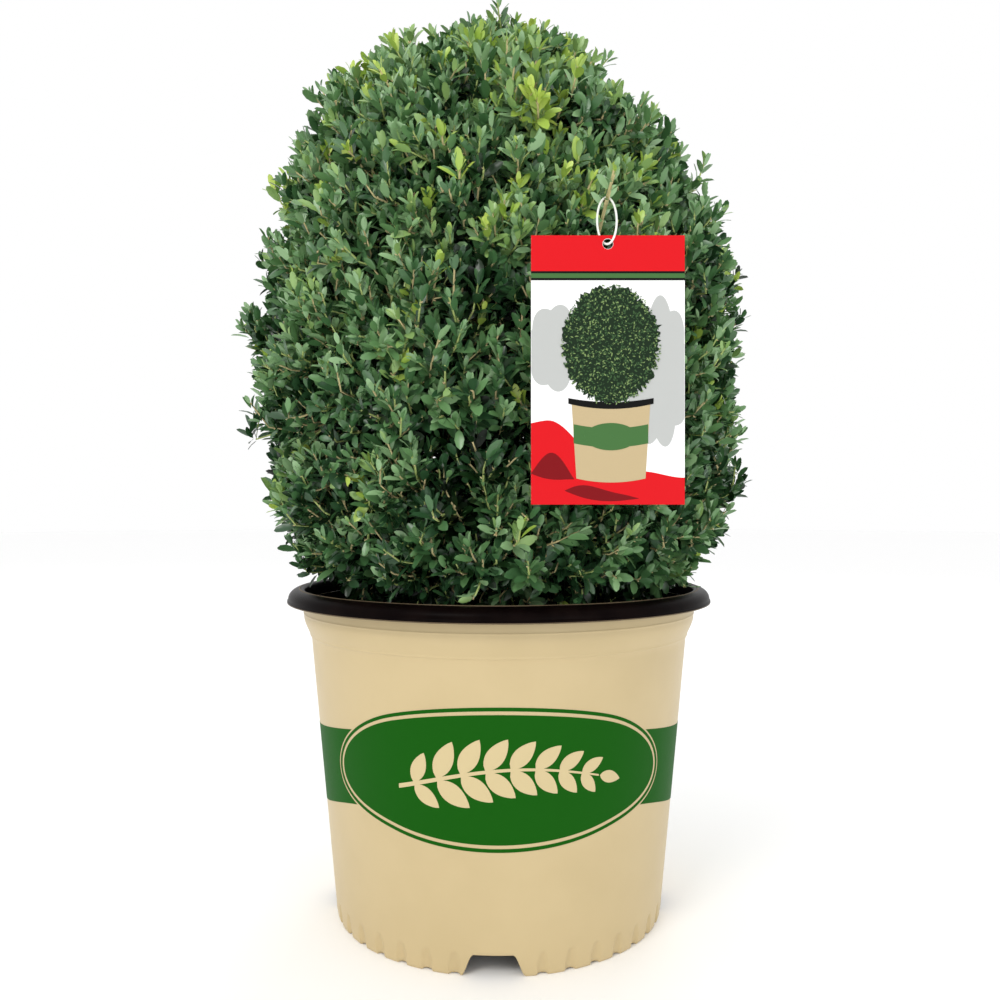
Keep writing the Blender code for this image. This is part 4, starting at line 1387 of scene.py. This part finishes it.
class TOPIARY_OT_label(bpy.types.Operator):
    """Finish the plant label: a white card with a plain picture of a potted shrub"""

    bl_idname = "topiary.label"
    bl_label = "Plant label"

    ink = 0.00005
    left, right = CARD_LOW[0], CARD_HIGH[0]
    bottom, top = CARD_LOW[2], CARD_HIGH[2]
    middle = (left + right) / 2.0

    def execute(self, context):
        label = context.scene.topiary_label
        card_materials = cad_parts["label_card"].data.materials
        card_materials.clear()
        card_materials.append(mottled_finish("label plastic", label.card, label.card, 0.02,
                                             0.004, 0.00001, (0.22, 0.30)))
        self.heading(label)
        self.picture(label)
        return {"FINISHED"}

    def lay(self, name, x, z, faces, colour, layer):
        """Lay a flat printed shape on the card's face, each layer a little further out."""
        lift = self.ink * layer
        front = np.stack([x, np.full(np.shape(x), CARD_LOW[1] - lift), z], axis=-1)
        back = front + [0.0, 0.9 * lift, 0.0]
        points, faces = close_layer(front, back, faces)
        self.print(name, points, faces, colour)

    def print(self, name, points, faces, colour):
        """One printed piece of the label."""
        finish = plain_finish(f"label {name}", colour, 0.3, specular=0.1)
        make_piece(f"label_{name}", points, faces, finish, smooth=False)

    def strip(self, name, edges, low, high, colour, layer):
        """A shape between a lower and an upper line over a run of widths."""
        x = np.stack([edges, edges])
        z = np.stack([np.broadcast_to(low, edges.shape), np.broadcast_to(high, edges.shape)])
        self.lay(name, x, z, [grid_faces(2, len(edges))], colour, layer)

    def fan(self, name, x, z, colour, layer):
        """A filled outline, joined to its own middle."""
        faces = fan_faces(np.arange(len(x)), len(x))
        self.lay(name, np.append(x, x.mean()), np.append(z, z.mean()), [faces], colour, layer)

    def heading(self, label):
        """Red heading round the tie's hole, then black and green rules under it.

        The heading is a grid of rings from the hole out to the rectangle's edge.
        """
        hole_x, hole_z = self.middle, self.top - HOLE_DROP
        hole_radius = 0.0027
        low, high = self.top - 0.0178, self.top
        across = np.array([self.right, self.left, self.left, self.right]) - hole_x
        corners = np.arctan2(np.array([high, high, low, low]) - hole_z, across)
        angle = np.sort(np.append(np.linspace(-math.pi, math.pi, 96, endpoint=False), corners))
        share = np.linspace(0.0, 1.0, 8)[:, None]
        cosine, sine = np.cos(angle), np.sin(angle)
        to_side = np.where(cosine > 0, self.right - hole_x, self.left - hole_x) / cosine
        to_end = np.where(sine > 0, high - hole_z, low - hole_z) / sine
        reach = np.minimum(np.abs(to_side), np.abs(to_end))
        distance = hole_radius + (reach - hole_radius) * share
        x, z = hole_x + distance * cosine, hole_z + distance * sine
        faces = grid_faces(len(share), len(angle), close_columns=True)[:, ::-1]
        self.lay("heading", x, z, [faces], label.red, 1)
        edges = np.linspace(self.left, self.right, 2)
        self.strip("rule_upper", edges, low - 0.0011, low, label.black, 1)
        self.strip("stripe", edges, low - 0.0034, low - 0.0011, label.green, 1)
        self.strip("rule_lower", edges, low - 0.0046, low - 0.0034, label.black, 1)

    def picture(self, label):
        """Clouds, a round shrub in a cream pot, and red ground with soft folds."""
        angle = np.linspace(0.0, FULL_TURN, 180, endpoint=False)
        middle = self.middle + 0.0015
        clouds = (("cloud_left", self.left + 0.012, self.bottom + 0.078, 0.013, 0.019, 7, 0.2),
                  ("cloud_right", self.right - 0.013, self.bottom + 0.066, 0.014, 0.033, 9, 1.1))
        for name, x, z, reach_x, reach_z, lobes, phase in clouds:
            edge_x, edge_z = blob(x, z, reach_x, reach_z, lobes, 0.16, angle, phase)
            edge_x = np.clip(edge_x, self.left + 0.0002, self.right - 0.0002)
            self.fan(name, edge_x, edge_z, label.cloud, 1)
        self.ground(label)
        pot_top, pot_low = self.bottom + 0.0508, self.bottom + 0.0130
        pot_x = np.linspace(-1.0, 1.0, 25)
        sag = 0.0020 * (pot_x ** 2 - 1.0)
        share = np.linspace(0.0, 1.0, 7)[:, None]
        x = middle + pot_x * (0.0172 + 0.0024 * share)
        z = pot_low + sag + (pot_top - pot_low) * share
        self.lay("pot", x, z, [grid_faces(*x.shape)], label.cream, 3)
        band_x = middle + pot_x * 0.01855
        self.strip("pot_band", band_x, self.bottom + 0.0305 + sag, self.bottom + 0.0400 + sag,
                   label.green, 4)
        edge_x, edge_z = blob(middle, self.bottom + 0.0338, 0.0130, 0.0068, 2, 0.0, angle)
        self.fan("pot_oval", edge_x, edge_z, label.green, 5)
        rim_x = middle + pot_x * 0.0212
        self.strip("pot_rim", rim_x, pot_top - 0.0006 + 1.3 * sag, pot_top + 0.0022 + sag,
                   label.black, 5)
        self.shrub(label, middle, angle)

    def ground(self, label):
        """Red ground with a waved top, and darker folds that run across it."""
        edges = np.linspace(self.left, self.right, 49)
        share = (edges - self.left) / (self.right - self.left)
        crest = (self.bottom + 0.0150 + 0.0255 * (1.0 - smooth_step((share - 0.1) / 0.5))
                 + 0.0016 * np.sin(11.0 * share))
        self.strip("ground", edges, self.bottom, crest, label.red, 1)
        for index, (first, last, low, high) in enumerate(((0.0, 0.28, 0.30, 0.62),
                                                          (0.22, 0.70, 0.10, 0.42))):
            part = np.linspace(first, last, 17)
            x = self.left + part * (self.right - self.left)
            line = np.interp(x, edges, crest) - self.bottom
            bow = np.sin(math.pi * (part - first) / (last - first))
            lower = self.bottom + line * (low + 0.08 * (1.0 - bow))
            upper = self.bottom + line * (low + (high - low) * (0.25 + 0.75 * bow))
            self.strip(f"fold_{index + 1}", x, lower, np.maximum(upper, lower + 0.0002),
                       label.dark_red, 2)

    def shrub(self, label, middle, angle):
        """A bumpy round with small leaf dabs in two paler greens."""
        centre = self.bottom + 0.0795
        reach_x, reach_z = 0.0240, 0.0292
        draw = np.random.default_rng(61)
        rough = 1.0 + 0.035 * draw.normal(size=len(angle)) + 0.02 * np.sin(7.0 * angle)
        edge_x = middle + reach_x * rough * np.cos(angle)
        edge_z = centre + reach_z * rough * np.sin(angle)
        self.fan("shrub", edge_x, edge_z, label.shrub_dark, 4)
        for name, count, colour, first in (("leaves", 1300, label.shrub_green, 6),
                                           ("light_leaves", 520, label.shrub_light, 9)):
            distance = np.sqrt(draw.random(count)) * 1.03
            turn = draw.uniform(0.0, FULL_TURN, count)
            x = middle + reach_x * distance * np.cos(turn)
            z = centre + reach_z * distance * np.sin(turn)
            lean = draw.uniform(0.0, FULL_TURN, count)
            size = draw.uniform(0.0004, 0.0009, count)
            corner = np.array([[1.0, 0.0], [0.0, 0.42], [-1.0, 0.0], [0.0, -0.42]])
            cosine, sine = np.cos(lean)[:, None], np.sin(lean)[:, None]
            dab_x = x[:, None] + size[:, None] * (corner[:, 0] * cosine - corner[:, 1] * sine)
            dab_z = z[:, None] + size[:, None] * (corner[:, 0] * sine + corner[:, 1] * cosine)
            y = CARD_LOW[1] - self.ink * (first + 3.0 * draw.random((count, 1)))
            points = np.stack([dab_x, np.broadcast_to(y, dab_x.shape), dab_z], axis=-1)
            dabs = repeated_faces(np.array([[0, 1, 2, 3]]), 4, count)
            self.print(name, points, [dabs], colour)


class TOPIARY_OT_tie(bpy.types.Operator):
    """Pass a white elastic loop through the card's hole and over its twig"""

    bl_idname = "topiary.tie"
    bl_label = "Label tie"

    def execute(self, context):
        label = context.scene.topiary_label
        rings, sides = 120, 10
        height, half_width, cord_radius = 0.0260, 0.0045, 0.00055
        middle = (CARD_LOW + CARD_HIGH) / 2.0
        around = np.linspace(0.0, FULL_TURN, rings, endpoint=False)
        rise = height * (1.0 - np.cos(around)) / 2.0
        path = np.stack([middle[0] + half_width * np.sin(around),
                         middle[1] - 0.0034 * np.sin(around) + 0.34 * rise,
                         CARD_HIGH[2] - HOLE_DROP + rise], axis=-1)
        heading = unit(np.roll(path, -1, axis=0) - np.roll(path, 1, axis=0))
        across = unit(np.cross(heading, [0.0, 0.0045, -0.001]))
        other = np.cross(heading, across)
        angle = np.arange(sides) * FULL_TURN / sides
        spoke = (across[:, None] * np.cos(angle)[:, None]
                 + other[:, None] * np.sin(angle)[:, None])
        finish = plain_finish("white elastic", label.tie, 0.55)
        make_piece("label_elastic_tie", path[:, None] + cord_radius * spoke,
                   [grid_faces(rings, sides, close_rows=True, close_columns=True)],
                   finish, ["label_tie"])
        return {"FINISHED"}


# ---------------------------------------------------------------- panel and run

OPERATORS = (TOPIARY_OT_stage, TOPIARY_OT_pot_wall, TOPIARY_OT_pot_rim, TOPIARY_OT_pot_print,
             TOPIARY_OT_potting_mix, TOPIARY_OT_bark, TOPIARY_OT_crown, TOPIARY_OT_label,
             TOPIARY_OT_tie)
SETTINGS = {"topiary_stage": StageSettings, "topiary_pot": PotSettings,
            "topiary_plant": PlantSettings, "topiary_label": LabelSettings}


class TOPIARY_PT_panel(bpy.types.Panel):
    """Buttons for every group of pieces, in the order in which they are made"""

    bl_idname = "TOPIARY_PT_panel"
    bl_label = "Boxwood Cone Topiary"
    bl_space_type = "VIEW_3D"
    bl_region_type = "UI"
    bl_category = "Topiary"

    def draw(self, context):
        for operator in OPERATORS:
            self.layout.operator(operator.bl_idname)
        for group in SETTINGS:
            box = self.layout.box()
            settings = getattr(context.scene, group)
            for setting in settings.__annotations__:
                box.prop(settings, setting)


def register():
    """Register the settings, the operators and the panel."""
    for group, settings in SETTINGS.items():
        bpy.utils.register_class(settings)
        setattr(bpy.types.Scene, group, PointerProperty(type=settings))
    for entry in (*OPERATORS, TOPIARY_PT_panel):
        bpy.utils.register_class(entry)


def unregister():
    """Undo register in the reverse order."""
    for entry in (TOPIARY_PT_panel, *reversed(OPERATORS)):
        bpy.utils.unregister_class(entry)
    for group, settings in SETTINGS.items():
        delattr(bpy.types.Scene, group)
        bpy.utils.unregister_class(settings)


def main():
    """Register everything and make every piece."""
    register()
    for operator in OPERATORS:
        group, name = operator.bl_idname.split(".")
        getattr(getattr(bpy.ops, group), name)()


if __name__ == "__main__":
    main()
